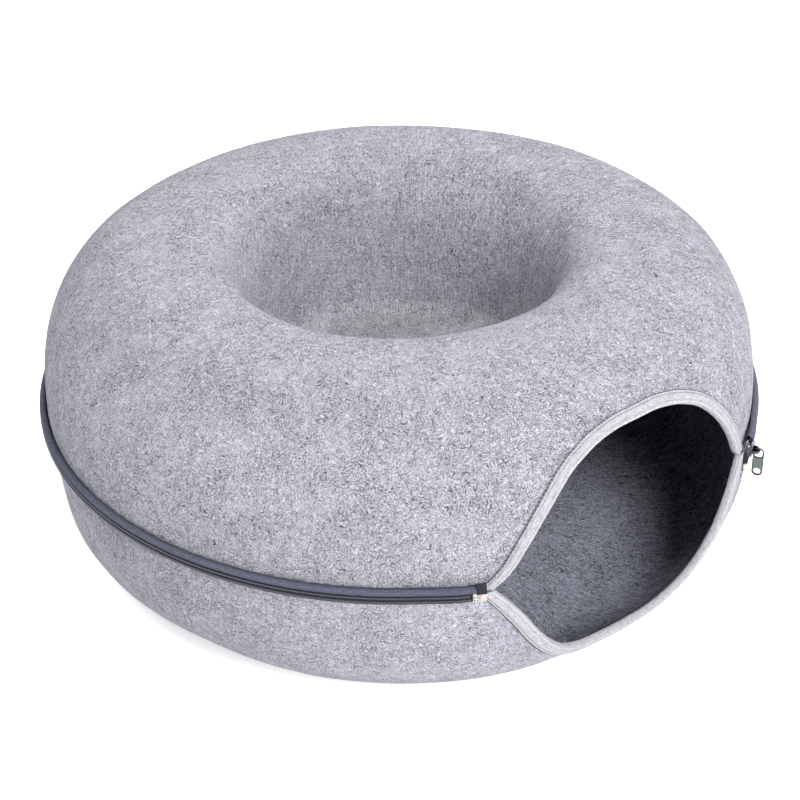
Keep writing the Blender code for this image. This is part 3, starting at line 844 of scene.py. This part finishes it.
BINDING_SECTIONS = 240
BINDING_POINTS = 64  # over the width of the tape
SEAM_EDGE = 0.0002  # the binding's cut end stops this far from the seam
OFF_FELT = 0.00035
CROWN = 0.0018  # how far the folded tape stands past the felt's edge
PUFF = 0.0011  # and how far it is raised over the outer face
HEM = 0.0015  # turned in at the inner edge
PUCKER = 0.00022
STEEPEST = 0.92 * math.pi / 2  # turn of the sine that spaces the sections
# painted shade and light across the binding tape, as (middle, half width, change): a painted shadow
# at the outer edge, a painted highlight on the ridge beside it and painted shade in the stitch
# groove
OUTER_SHADE_AND_HIGHLIGHT = ((0.0003, 0.0006, -0.35), (0.0016, 0.0008, 0.10), (0.0029, 0.0008, -0.24))
STITCH_SIZE = 0.00045
STITCH_STEPS = 1500  # spots along a lip from which the stitches are measured out


def binding_shares(count):
    """Shares from corner to corner, closer together where the lip is steep."""
    turns = np.linspace(-STEEPEST, STEEPEST, count)
    return [math.sin(turn) / math.sin(STEEPEST) for turn in turns]


def outer_width(lip, entrance):
    """How far the tape reaches over the outer face."""
    return entrance.upper_width if lip.skin.side > 0 else entrance.lower_width


def taper(share):
    """The tape is drawn narrower towards the entrance's corners."""
    return 1.0 - 0.28 * max(0.0, (abs(share) - 0.72) / 0.28) ** 2


def binding_section(lip, felt, entrance):
    """(inwards, depth) of the tape from its outer edge, round the felt's edge, to its inner one."""
    width, inside = outer_width(lip, entrance), entrance.binding_inside
    off = OFF_FELT + entrance.binding_thickness
    edge = FELT * felt.pressed
    inner = [
        (inwards, FELT * lip.pressed(inwards, felt.pressed) + off + lift)
        for inwards, lift in (
            (0.0002, 0.0001), (inside * 0.3, 0.0004), (inside * 0.6, 0.0004),
            (inside - HEM, -0.0001), (inside - HEM * 0.5, 0.0001), (inside, 0.0),
        )
    ]
    points = [
        (width, -off + 0.0004), (width - 0.0005, -off + 0.0001),
        (width - 0.0013, -off - PUFF * 0.8), (width - 0.0021, -off - PUFF * 0.15),
        (width - 0.0029, -off - PUFF * 0.75), (width * 0.42, -off - PUFF * 0.8),
        (0.0014, -off - PUFF * 0.75), (0.0006, -off - PUFF * 0.5), (-0.0004, -off - PUFF * 0.75),
        (-CROWN * 0.7, -off - PUFF * 0.5), (-CROWN, -off * 0.2), (-CROWN, edge * 0.8),
        (-CROWN * 0.7, edge + off * 0.6), *inner,
    ]
    return smooth_path(points, BINDING_POINTS)


def binding_sheet(lip, felt, entrance):
    """The folded tape along one lip."""
    section = binding_section(lip, felt, entrance)
    shares = binding_shares(BINDING_SECTIONS + 1)
    along = way_along([lip.spot(share, 0, 0) for share in shares])
    over = lengths_along(section)
    rows = len(section) - 1

    def spot(u, v):
        share = shares[round(u * BINDING_SECTIONS)]
        inwards, depth = section[round(v * rows)]
        if inwards > 0:
            inwards *= taper(share)
        way = along[round(u * BINDING_SECTIONS)]
        pucker = PUCKER * noise.noise(Vector((way * 420, inwards * 500, lip.skin.side)))
        return lip.spot(share, inwards, depth - pucker * (depth < 0), SEAM_EDGE)

    def run(u, v):
        return along[round(u * BINDING_SECTIONS)], over[round(v * rows)]

    bm = cloth_grid(BINDING_SECTIONS, rows, spot, run)
    if lip.skin.side > 0:
        bmesh.ops.reverse_faces(bm, faces=bm.faces)
    return bm, along[-1], over[-1]


def stitch_places(lip, entrance, inwards, depth):
    """Where each stitch of a row along the lip lies."""
    shares = np.linspace(-0.985, 0.985, STITCH_STEPS)
    spots = [lip.spot(share, inwards * taper(share), depth, 0.0006) for share in shares]
    along = way_along(spots)
    half = (entrance.stitch_length / 2, STITCH_SIZE, STITCH_SIZE * 0.8, 1.0)
    places = []
    outwards = -1 if depth > 0 else 1
    for at in np.arange(entrance.stitch_pitch / 2, along[-1], entrance.stitch_pitch):
        i = min(int(np.searchsorted(along, at)), len(spots) - 2)
        angle = shares[i] * lip.half_angle
        out = lip.skin.normal(angle, lip.at(shares[i])[1]) * outwards
        turn = basis(spots[i + 1] - spots[i], out)
        places.append(Matrix.Translation(spots[i]) @ turn @ Matrix.Diagonal(half))
    return places


class BED_OT_bindings(Operator):
    """Fold a woven tape over each lip of the entrance and stitch it down"""

    bl_idname = "cat_cave.bindings"
    bl_label = "Bindings"

    def execute(self, context):
        felt, entrance = context.scene.bed_felt, context.scene.bed_entrance
        # near-black stitches: real thread, and the painted shadow line along the tape's outer edge
        thread = solid_material("binding_thread", entrance.thread, 0.8, mottle=0.12)
        for name, skin in (("upper", upper_skin(felt)), ("lower", lower_skin(felt))):
            lip = Lip(skin, entrance.half_angle)
            reach = outer_width(lip, entrance)
            # painted shade in the groove by the fold's crown and a painted highlight on the crown
            crown_shade_and_highlight = ((reach + 0.0004, 0.0009, -0.13), (reach + 0.0019, 0.0010, 0.14))
            cloth = woven_material(
                f"binding_tape_{name}", entrance.colour, 0.0007, 0.6, 1.0, 0.85, 0.00025, 0.28,
                OUTER_SHADE_AND_HIGHLIGHT + crown_shade_and_highlight,
            )
            bm, length, width = binding_sheet(lip, felt, entrance)
            stands_for = (f"{name}_lip_binding",)
            piece = finish_piece(f"binding_{name}", bm, (cloth,), stands_for)
            thicken(piece, entrance.binding_thickness)
            off = OFF_FELT + entrance.binding_thickness
            rows = stitch_places(lip, entrance, reach - entrance.stitch_inset, -off)
            rows += stitch_places(lip, entrance, entrance.binding_inside - HEM, FELT + off)
            ball = bmesh.new()
            bmesh.ops.create_icosphere(ball, subdivisions=1, radius=1.0)
            bm = add_copies(bmesh.new(), ball, *rows)
            stitches = finish_piece(
                f"binding_stitches_{name}", bm, (thread,), (), 50
            )
        return {"FINISHED"}


# ---------------------------------------------------------------- zip

COIL_HALF = 0.0029
COIL_INSIDE = 0.0030  # from the felt's radius to the coil
COIL_THICKNESS = 0.0024
COIL_LEAN = 14  # degrees that each loop slants
ZIP_START = -26.9
COIL_START = -28.6
COIL_END = 28.0
TAPE_END = 28.95
TUCKED_END = 30.0
TAPE = 0.0006  # thickness of the zip's tapes
TAPE_POINTS = 26
TAPE_COLUMNS = 560
TWILL = (0.0011, 1.0, 0.0012)  # pitch, slant and turnback of the weave
END_LIFT = 0.0015
LIFT_FULL = 29.5
LIFT_NONE = 36.0


def zip_lift(angle):
    """How far the zip stands off near its ends, where it crosses the bindings."""
    away = min(abs(angle), 360 - abs(angle))
    return END_LIFT * smoothstep((LIFT_NONE - away) / (LIFT_NONE - LIFT_FULL))


def zip_spot(angle, out, rise, lifted=True):
    """A point on the zip: out from the felt's radius and rise over the seam."""
    wander = 0.00018 * noise.noise(Vector((math.radians(angle) * 5.0, 3.0, 0.0)))
    radius = UPPER_RADIUS + out + (zip_lift(angle) if lifted else 0.0)
    return polar(radius, angle, SEAM_HEIGHT + rise + wander * lifted)


def tape_sheet(section, start, end, columns):
    """A strip of tape round the back, from start to end, with UVs in metres."""
    rows = len(section) - 1
    over = lengths_along(section)

    def angle_at(u):
        return start + u * (end - start)

    def spot(u, v):
        out, rise = section[round(v * rows)]
        return zip_spot(angle_at(u), out, rise, lifted=out > 0)

    def run(u, v):
        return math.radians(angle_at(u)) * UPPER_RADIUS, over[round(v * rows)]

    length = math.radians(abs(end - start)) * UPPER_RADIUS
    return cloth_grid(columns, rows, spot, run), length, over[-1]


class BED_OT_zip_tapes(Operator):
    """Lay the two twill tapes of the zip round the bed"""

    bl_idname = "cat_cave.zip_tapes"
    bl_label = "Zip tapes"

    def execute(self, context):
        settings = context.scene.bed_zip
        # painted shadow along the tape's edge by the felt and a painted highlight along its bulge
        painted_light_bands = ((0.0, 0.0018, -0.60), (0.0036, 0.0020, 0.35))
        twill = woven_material(
            "twill_tape", settings.tape_colour, *TWILL, 0.7, 0.0002, 0.40, painted_light_bands
        )
        outer = smooth_path(
            [(0.0006, 0.0064), (0.0020, 0.0061), (0.0036, 0.0052), (0.0047, 0.0043),
             (0.0050, 0.0036), (0.0040, 0.0032), (0.0029, 0.0026), (0.0027, 0.0002)],
            TAPE_POINTS,
        )
        tucked = LOWER_RADIUS - FELT - UPPER_RADIUS - TAPE
        inner = smooth_path(
            [(0.0027, -0.0026), (0.0027, -0.0008), (0.0015, -0.0004), (tucked + 0.0008, -0.0005),
             (tucked, -0.0015), (tucked, -0.0060), (tucked, -0.0120)],
            TAPE_POINTS,
        )
        for name, section, start, end in (
            ("upper", outer, TAPE_END, 360 + ZIP_START),
            ("lower", inner, TUCKED_END, 360 - TUCKED_END),
        ):
            bm, length, width = tape_sheet(section, start, end, TAPE_COLUMNS)
            stands_for = (f"zip_tape_{name}",)
            piece = finish_piece(f"tape_{name}", bm, (twill,), stands_for)
            faces_out(piece)
            thicken(piece, TAPE)
        return {"FINISHED"}


def faces_out(piece):
    """Turn a strip's faces so that its first row looks away from the bed's axis."""
    mesh = piece.data
    face = mesh.polygons[0]
    if face.normal.dot(Vector((face.center.x, face.center.y, 0))) < 0:
        bm = bmesh.new()
        bm.from_mesh(mesh)
        bmesh.ops.reverse_faces(bm, faces=bm.faces)
        bm.to_mesh(mesh)
        bm.free()


class BED_OT_zip_coil(Operator):
    """Wind the two rows of nylon coil that close the zip"""

    bl_idname = "cat_cave.zip_coil"
    bl_label = "Zip coil"

    def execute(self, context):
        settings = context.scene.bed_zip
        nylon = solid_material("nylon_coil", settings.coil_colour, 0.32, mottle=0.10, coat=0.1)
        # painted shade: a near-black core behind the loops stands for the cord and for the shade
        # between and behind the loops
        dark = solid_material("coil_cord", (0.006, 0.006, 0.012), 0.9)
        middle = COIL_INSIDE + COIL_THICKNESS / 2
        radius = UPPER_RADIUS + middle
        start, end = COIL_END, 360 + COIL_START
        count = int(math.radians(end - start) * radius / settings.coil_pitch)
        size = Matrix.Diagonal(
            (settings.coil_pitch * 0.28, COIL_THICKNESS / 2, COIL_HALF * 0.29, 1.0)
        )
        for name, side, late in (("upper", 1, 0.5), ("lower", -1, 1.0)):
            slant = Matrix.Rotation(math.radians(COIL_LEAN * side), 4, "Y")
            places = []
            for i in range(count):
                angle = start + (i + late) / (count + 1) * (end - start)
                spot = zip_spot(angle, middle, side * COIL_HALF * 0.53)
                places.append(Matrix.Translation(spot) @ turn_at(angle) @ slant @ size)
            loop = bmesh.new()
            bmesh.ops.create_uvsphere(loop, u_segments=8, v_segments=5, radius=1.0)
            bm = add_copies(bmesh.new(), loop, *places)
            finish_piece(f"coil_{name}", bm, (nylon,), ())
        # the near-black core strip: painted shade behind the coil's loops
        core = [(middle - 0.0011, 0.0028), (middle - 0.0003, 0.0027), (middle - 0.0002, 0.0),
                (middle - 0.0003, -0.0027), (middle - 0.0011, -0.0028)]
        bm, _, _ = tape_sheet(smooth_path(core, 9), start, end, 480)
        cord = finish_piece("coil_cord", bm, (dark,), ("zip_coil",))
        thicken(cord, TAPE)
        return {"FINISHED"}


# ---------------------------------------------------------------- slider, pull and ends


def bevel_edges(bm, width, segments):
    bmesh.ops.bevel(
        bm, geom=bm.edges[:], offset=width, segments=segments,
        profile=0.5, affect="EDGES", material=-1,
    )


def bevelled_block(size, bevel, segments=3):
    bm = bmesh.new()
    bmesh.ops.create_cube(bm, size=1.0)
    bmesh.ops.scale(bm, vec=size, verts=bm.verts)
    bevel_edges(bm, bevel, segments)
    return bm


def put(bm, place):
    bmesh.ops.transform(bm, matrix=place, verts=bm.verts)


def place_at(radius, angle, height):
    """The matrix that moves a piece from the origin to this place, its -Y turned outwards."""
    return Matrix.Translation(polar(radius, angle, height)) @ turn_at(angle)


def plate(outline, thickness, bevel):
    """A flat plate from an outline in (along, up), bevelled, its thickness along Y."""
    bm = bmesh.new()
    face = bm.faces.new([bm.verts.new((x, 0, z)) for x, z in outline])
    made = bmesh.ops.extrude_face_region(bm, geom=[face])
    lifted = [item for item in made["geom"] if isinstance(item, bmesh.types.BMVert)]
    bmesh.ops.translate(bm, vec=(0, thickness, 0), verts=lifted)
    bmesh.ops.translate(bm, vec=(0, -thickness / 2, 0), verts=bm.verts)
    bmesh.ops.recalc_face_normals(bm, faces=bm.faces)
    bevel_edges(bm, bevel, 2)
    return bm


SLIDER_ANGLE = 27.6
SLIDER_LENGTH = 0.0105
SLIDER_HEIGHT = 0.0084
PLATE = 0.0009
CHANNEL = COIL_INSIDE + END_LIFT - 0.0004  # inner and outer ends of the slider's channel
FRONT = COIL_INSIDE + COIL_THICKNESS + END_LIFT + 0.0004
STRAP = 0.0011  # thickness of the strap that holds the pull


class BED_OT_zip_slider(Operator):
    """Build the slider: two plates round the coil, side flanges and the crown"""

    bl_idname = "cat_cave.zip_slider"
    bl_label = "Zip slider"

    def execute(self, context):
        settings = context.scene.bed_zip
        metal = solid_material("gunmetal_slider", settings.metal_colour, 0.3, 0.5, 0.15)
        half, tall = SLIDER_LENGTH / 2, SLIDER_HEIGHT / 2
        low_edge = [(-half, -tall * 0.7), (-half * 0.5, -tall), (half * 0.6, -tall),
                    (half, -tall * 0.8)]
        outline = low_edge + [(x, -z) for x, z in reversed(low_edge)]
        bm = bmesh.new()
        for out in (CHANNEL - PLATE / 2, FRONT + PLATE / 2):
            add_copies(bm, plate(outline, PLATE, 0.0002), Matrix.Translation((0, -out, 0)))
        post = bevelled_block((0.0040, FRONT - CHANNEL + 0.0004, SLIDER_HEIGHT * 0.86), 0.0006)
        add_copies(bm, post, Matrix.Translation((-half + 0.0024, -(CHANNEL + FRONT) / 2, 0)))
        for side in (1, -1):
            flange = bevelled_block((SLIDER_LENGTH * 0.72, 0.0011, 0.0007), 0.00025, 2)
            spot = (0.0004, -(FRONT - 0.0004), side * (tall - 0.0004))
            add_copies(bm, flange, Matrix.Translation(spot))
        face, bridge = FRONT + PLATE, FRONT + PLATE + 0.0034
        leg = half - 0.0008
        arch = smooth_path(
            [(-leg, face - 0.0005), (-leg - 0.0001, face + 0.0012),
             (STRAP - leg, bridge + 0.0001), (-0.0016, bridge + 0.0012),
             (0.0016, bridge + 0.0012), (leg - STRAP, bridge + 0.0001),
             (leg + 0.0001, face + 0.0012), (leg, face - 0.0005)],
            22,
        )
        under = [(x * (1 - STRAP / leg), max(y - 0.0010, face - 0.0005)) for x, y in arch]
        outline = [(x, -y) for x, y in (*arch, *reversed(under))]
        strap = plate(outline, 0.0016, 0.00025)
        add_copies(bm, strap, Matrix.Rotation(math.radians(-90), 4, "X"))
        put(bm, place_at(UPPER_RADIUS, SLIDER_ANGLE, SEAM_HEIGHT))
        finish_piece("slider_body", bm, (metal,), ("zip_slider",), 40)
        return {"FINISHED"}


def rounded_outline(centre, width, height, corner, steps=8):
    """Points (x, y) round a rectangle with round corners."""
    points = []
    for quarter, (side, end) in enumerate(((1, 1), (-1, 1), (-1, -1), (1, -1))):
        for step in range(steps):
            turn = math.radians(90 * quarter + 90 / (steps - 1) * step)
            x = centre[0] + side * (width / 2 - corner) + corner * math.cos(turn)
            y = centre[1] + end * (height / 2 - corner) + corner * math.sin(turn)
            points.append((x, y))
    return points


class BED_OT_zip_pull(Operator):
    """Hang the flat pull with its window and eye on the crown"""

    bl_idname = "cat_cave.zip_pull"
    bl_label = "Zip pull"

    def execute(self, context):
        settings = context.scene.bed_zip
        metal = solid_material("gunmetal_pull", settings.pull_colour, 0.35, 0.6, 0.25)
        # painted shade: the pull's rim and sides are near-black and matt, only its flat faces metal
        dark = tuple(value * 0.10 for value in settings.pull_colour)
        edge = solid_material("gunmetal_edge", dark, 0.5)
        length, width, rim, thickness = 0.0221, 0.0074, 0.0011, 0.0014
        hung = 0.0029  # from the slider's face
        middle = -hung / 2 - 0.0008 - rim / 2 + width / 2
        foot = rim - length
        curve = bpy.data.curves.new("pull", "CURVE")
        curve.dimensions = "2D"
        curve.fill_mode = "BOTH"
        curve.bevel_depth = 0.00050
        curve.bevel_resolution = 2
        curve.extrude = thickness / 2 - curve.bevel_depth
        curve.offset = -curve.bevel_depth
        for outline in (
            ((middle, rim - length / 2), width, length, 0.0034),
            ((middle, -0.0030), width - 2 * rim, 0.0060, 0.0016),
            ((middle, foot + 0.0037), 0.0048, 0.0046, 0.0022),
        ):
            points = rounded_outline(*outline)
            spline = curve.splines.new("POLY")
            spline.points.add(len(points) - 1)
            for point, (x, y) in zip(spline.points, points):
                point.co = (x, y, 0, 1)
            spline.use_cyclic_u = True
        holder = bpy.data.objects.new("pull", curve)
        bm = bmesh.new()
        bm.from_mesh(holder.to_mesh())
        holder.to_mesh_clear()
        bpy.data.objects.remove(holder)
        bpy.data.curves.remove(curve)
        bmesh.ops.remove_doubles(bm, verts=bm.verts, dist=SAME)
        bm.normal_update()
        # faces that don't lie flat take the near-black painted shade of the rim
        for part in bm.faces:
            part.material_index = int(abs(part.normal.z) < 0.97)
        hang = polar(UPPER_RADIUS + FRONT + PLATE + hung, SLIDER_ANGLE, SEAM_HEIGHT + 0.0010)
        lean = Euler((math.radians(90), settings.pull_lean, math.radians(SLIDER_ANGLE - 90)))
        put(bm, Matrix.Translation(hang) @ lean.to_matrix().to_4x4())
        finish_piece("pull_tab", bm, (metal, edge), ("zip_pull",), 40)
        return {"FINISHED"}


PIN_ANGLE = -28.10
BOX_ANGLE = -27.17
FOLD_ANGLE = -27.35
TAIL_PATH = ((26.45, -0.0014), (26.3, -0.0060), (25.75, -0.0126))  # angle, rise over the seam
TAIL_WIDTH = 0.0040
TAIL_TURN = 60.0  # degrees that the tail is twisted away from the felt
TAIL_OUT = 0.0022
TAIL_LENGTH = 0.0115
TAIL_ROWS = 12
STOP_ANGLE = 25.85


class BED_OT_zip_ends(Operator):
    """Add the pins and box at the zip's start and the tape end past the slider"""

    bl_idname = "cat_cave.zip_ends"
    bl_label = "Zip ends"

    def execute(self, context):
        settings, entrance = context.scene.bed_zip, context.scene.bed_entrance
        pale = solid_material("pale_pin", (0.56, 0.55, 0.51), 0.4, mottle=0.15)
        beige = solid_material("beige_box", (0.50, 0.43, 0.38), 0.45, mottle=0.10)
        # painted shade: dark dots stand in for the shaded hollows of the pins
        hollow = solid_material("pin_hollow", (0.03, 0.03, 0.035), 0.7)
        folded = woven_material(
            "folded_tape_end", tuple(value * 0.2 for value in settings.tape_colour),
            *TWILL, 0.75, 0.0002, 0.30,
        )
        middle = COIL_INSIDE + END_LIFT + COIL_THICKNESS / 2
        face = -COIL_THICKNESS / 2
        for name, side in (("upper", 1), ("lower", -1)):
            bm = bevelled_block((0.0040, COIL_THICKNESS, 0.0025), 0.0005)
            place = place_at(UPPER_RADIUS + middle, PIN_ANGLE, SEAM_HEIGHT + side * 0.00155)
            put(bm, place)
            finish_piece(f"pin_{name}", bm, (pale,), (f"zip_pin_{name}",), 40)
            # near-black dots on each pin's face: painted shade of its hollows
            dot = bmesh.new()
            bmesh.ops.create_uvsphere(dot, u_segments=10, v_segments=6, radius=0.00048)
            low = -side * 0.0002
            spots = [place @ Matrix.Translation((x, face, low)) for x in (-0.0011, 0.0007)]
            dots = add_copies(bmesh.new(), dot, *spots)
            finish_piece(f"pin_hollows_{name}", dots, (hollow,), ())
        bm = bevelled_block((0.0046, COIL_THICKNESS + 0.0004, 0.0056), 0.0009)
        put(bm, place_at(UPPER_RADIUS + middle + 0.0002, BOX_ANGLE, SEAM_HEIGHT))
        finish_piece("retainer_box", bm, (beige,), ("zip_box",), 40)

        fold = bevelled_block((0.0064, 0.0013, 0.0068), 0.0004)
        lean = Matrix.Rotation(math.radians(-28), 4, "X")
        put(fold, place_at(UPPER_RADIUS + 0.0050, FOLD_ANGLE, SEAM_HEIGHT + 0.0052) @ lean)
        finish_piece("tape_end_fold", fold, (folded,), (), 40)

        out = TAPE + entrance.binding_thickness + OFF_FELT + 0.0002 + TAIL_OUT
        radius = LOWER_RADIUS + out
        path = smooth_path(TAIL_PATH, TAIL_ROWS + 1)
        turn = math.radians(TAIL_TURN)

        def tail_spot(u, v):
            angle, rise = path[round(u * TAIL_ROWS)]
            side = (v - 0.5) * TAIL_WIDTH * (1 - 0.4 * u)
            across = polar(math.sin(turn), angle, 0) + polar(math.cos(turn), angle + 90, 0)
            return polar(radius, angle, SEAM_HEIGHT + rise) + across * side

        bm = cloth_grid(TAIL_ROWS, 6, tail_spot, lambda u, v: (u * TAIL_LENGTH, v * TAIL_WIDTH))
        tail = finish_piece("tape_tail", bm, (folded,), ("zip_tail",), 40)
        faces_out(tail)
        thicken(tail, 0.0008)
        stop = bevelled_block((0.0030, 0.0022, 0.0040), 0.0006)
        spot = polar(radius + 0.0004, STOP_ANGLE, SEAM_HEIGHT - 0.0098)
        put(stop, Matrix.Translation(spot) @ turn_at(STOP_ANGLE - TAIL_TURN))
        finish_piece("tail_stop", stop, (pale,), ("zip_stop",), 40)
        return {"FINISHED"}


# ---------------------------------------------------------------- studio


LIGHTS = (  # name, azimuth and elevation in degrees
    ("key", -10, 38),
    ("side", 110, 35),
    ("fill", -140, 50),
    ("top", 0, 80),
    ("low", 15, 25),
)
LIGHT_SIZE = 0.9
LIGHT_DISTANCE = 2.2
WHITE = (1.0, 1.0, 1.0, 1.0)


def area_light(name, power, azimuth, elevation):
    """A round soft light that faces the middle of the bed."""
    light = bpy.data.lights.new(name, "AREA")
    light.shape = "DISK"
    light.size = LIGHT_SIZE
    light.energy = power
    lamp = bpy.data.objects.new(name, light)
    turn = math.radians(elevation)
    flat, up = LIGHT_DISTANCE * math.cos(turn), LIGHT_DISTANCE * math.sin(turn)
    lamp.location = polar(flat, azimuth, up)
    lamp.rotation_euler = facing(Vector((0, 0, 0.1)) - lamp.location).to_euler()
    bpy.context.scene.collection.objects.link(lamp)


def facing(way):
    """The turn that makes a light or a camera look this way."""
    return way.to_track_quat("-Z", "Y").to_matrix()


class BED_OT_stage(Operator):
    """Set up the camera, the pale floor and the soft light"""

    bl_idname = "cat_cave.stage"
    bl_label = "Stage"

    def execute(self, context):
        stage = context.scene.bed_stage
        bm = bmesh.new()
        bmesh.ops.create_circle(bm, cap_ends=True, segments=64, radius=6.0)
        mesh = bpy.data.meshes.new("studio_floor")
        bmesh.ops.translate(bm, vec=(0, 0, -0.0005), verts=bm.verts)
        bm.to_mesh(mesh)
        bm.free()
        floor = bpy.data.objects.new("studio_floor", mesh)
        context.scene.collection.objects.link(floor)
        paint = {"Base Color": (*stage.floor, 1.0), "Roughness": 0.9}
        glow = {"Emission Color": WHITE, "Emission Strength": stage.glow}
        mesh.materials.append(new_material("studio_floor", {**paint, **glow})[0])

        world = bpy.data.worlds.new("studio_sky")
        world.use_nodes = True
        sky = world.node_tree.nodes["Background"].inputs
        sky["Color"].default_value = WHITE
        sky["Strength"].default_value = stage.sky
        context.scene.world = world
        for name, azimuth, elevation in LIGHTS:
            power = getattr(stage, f"{name}_power")
            area_light(f"{name}_light", power, azimuth, elevation)

        camera = bpy.data.objects.new("camera", bpy.data.cameras.new("camera"))
        context.scene.collection.objects.link(camera)
        camera.data.sensor_width = 36.0
        camera.data.lens = stage.lens
        camera.data.shift_x = stage.shift
        aim = Vector((0, 0, stage.aim_height))
        flat = stage.distance * math.cos(stage.elevation)
        up = stage.distance * math.sin(stage.elevation)
        camera.location = aim + polar(flat, math.degrees(stage.azimuth), up)
        roll = Matrix.Rotation(stage.roll, 3, "Z")
        camera.rotation_euler = (facing(aim - camera.location) @ roll).to_euler()
        context.scene.camera = camera
        context.scene.view_settings.view_transform = "Standard"
        return {"FINISHED"}


# ---------------------------------------------------------------- add-on

STEPS = (
    BED_OT_felt_shells,
    BED_OT_bindings,
    BED_OT_zip_tapes,
    BED_OT_zip_coil,
    BED_OT_zip_slider,
    BED_OT_zip_pull,
    BED_OT_zip_ends,
    BED_OT_stage,
)
SETTINGS = {
    "bed_felt": FeltSettings,
    "bed_entrance": EntranceSettings,
    "bed_zip": ZipSettings,
    "bed_stage": StageSettings,
}


class BED_PT_panel(Panel):
    """The settings and build steps of the cat cave bed"""

    bl_idname = "BED_PT_panel"
    bl_label = "Cat Cave Bed"
    bl_space_type = "VIEW_3D"
    bl_region_type = "UI"
    bl_category = "Cat Cave"

    def draw(self, context):
        layout = self.layout
        for step in STEPS:
            layout.operator(step.bl_idname)
        for name, group in SETTINGS.items():
            box = layout.box()
            box.label(text=group.__doc__)
            for key in group.__annotations__:
                box.prop(getattr(context.scene, name), key)


def register():
    for group in SETTINGS.values():
        bpy.utils.register_class(group)
    for name, group in SETTINGS.items():
        setattr(bpy.types.Scene, name, PointerProperty(type=group))
    for step in STEPS:
        bpy.utils.register_class(step)
    bpy.utils.register_class(BED_PT_panel)


def unregister():
    bpy.utils.unregister_class(BED_PT_panel)
    for step in reversed(STEPS):
        bpy.utils.unregister_class(step)
    for name, group in SETTINGS.items():
        delattr(bpy.types.Scene, name)
        bpy.utils.unregister_class(group)


def main():
    register()
    for step in STEPS:
        group, action = step.bl_idname.split(".")
        getattr(getattr(bpy.ops, group), action)()


if __name__ == "__main__":
    main()
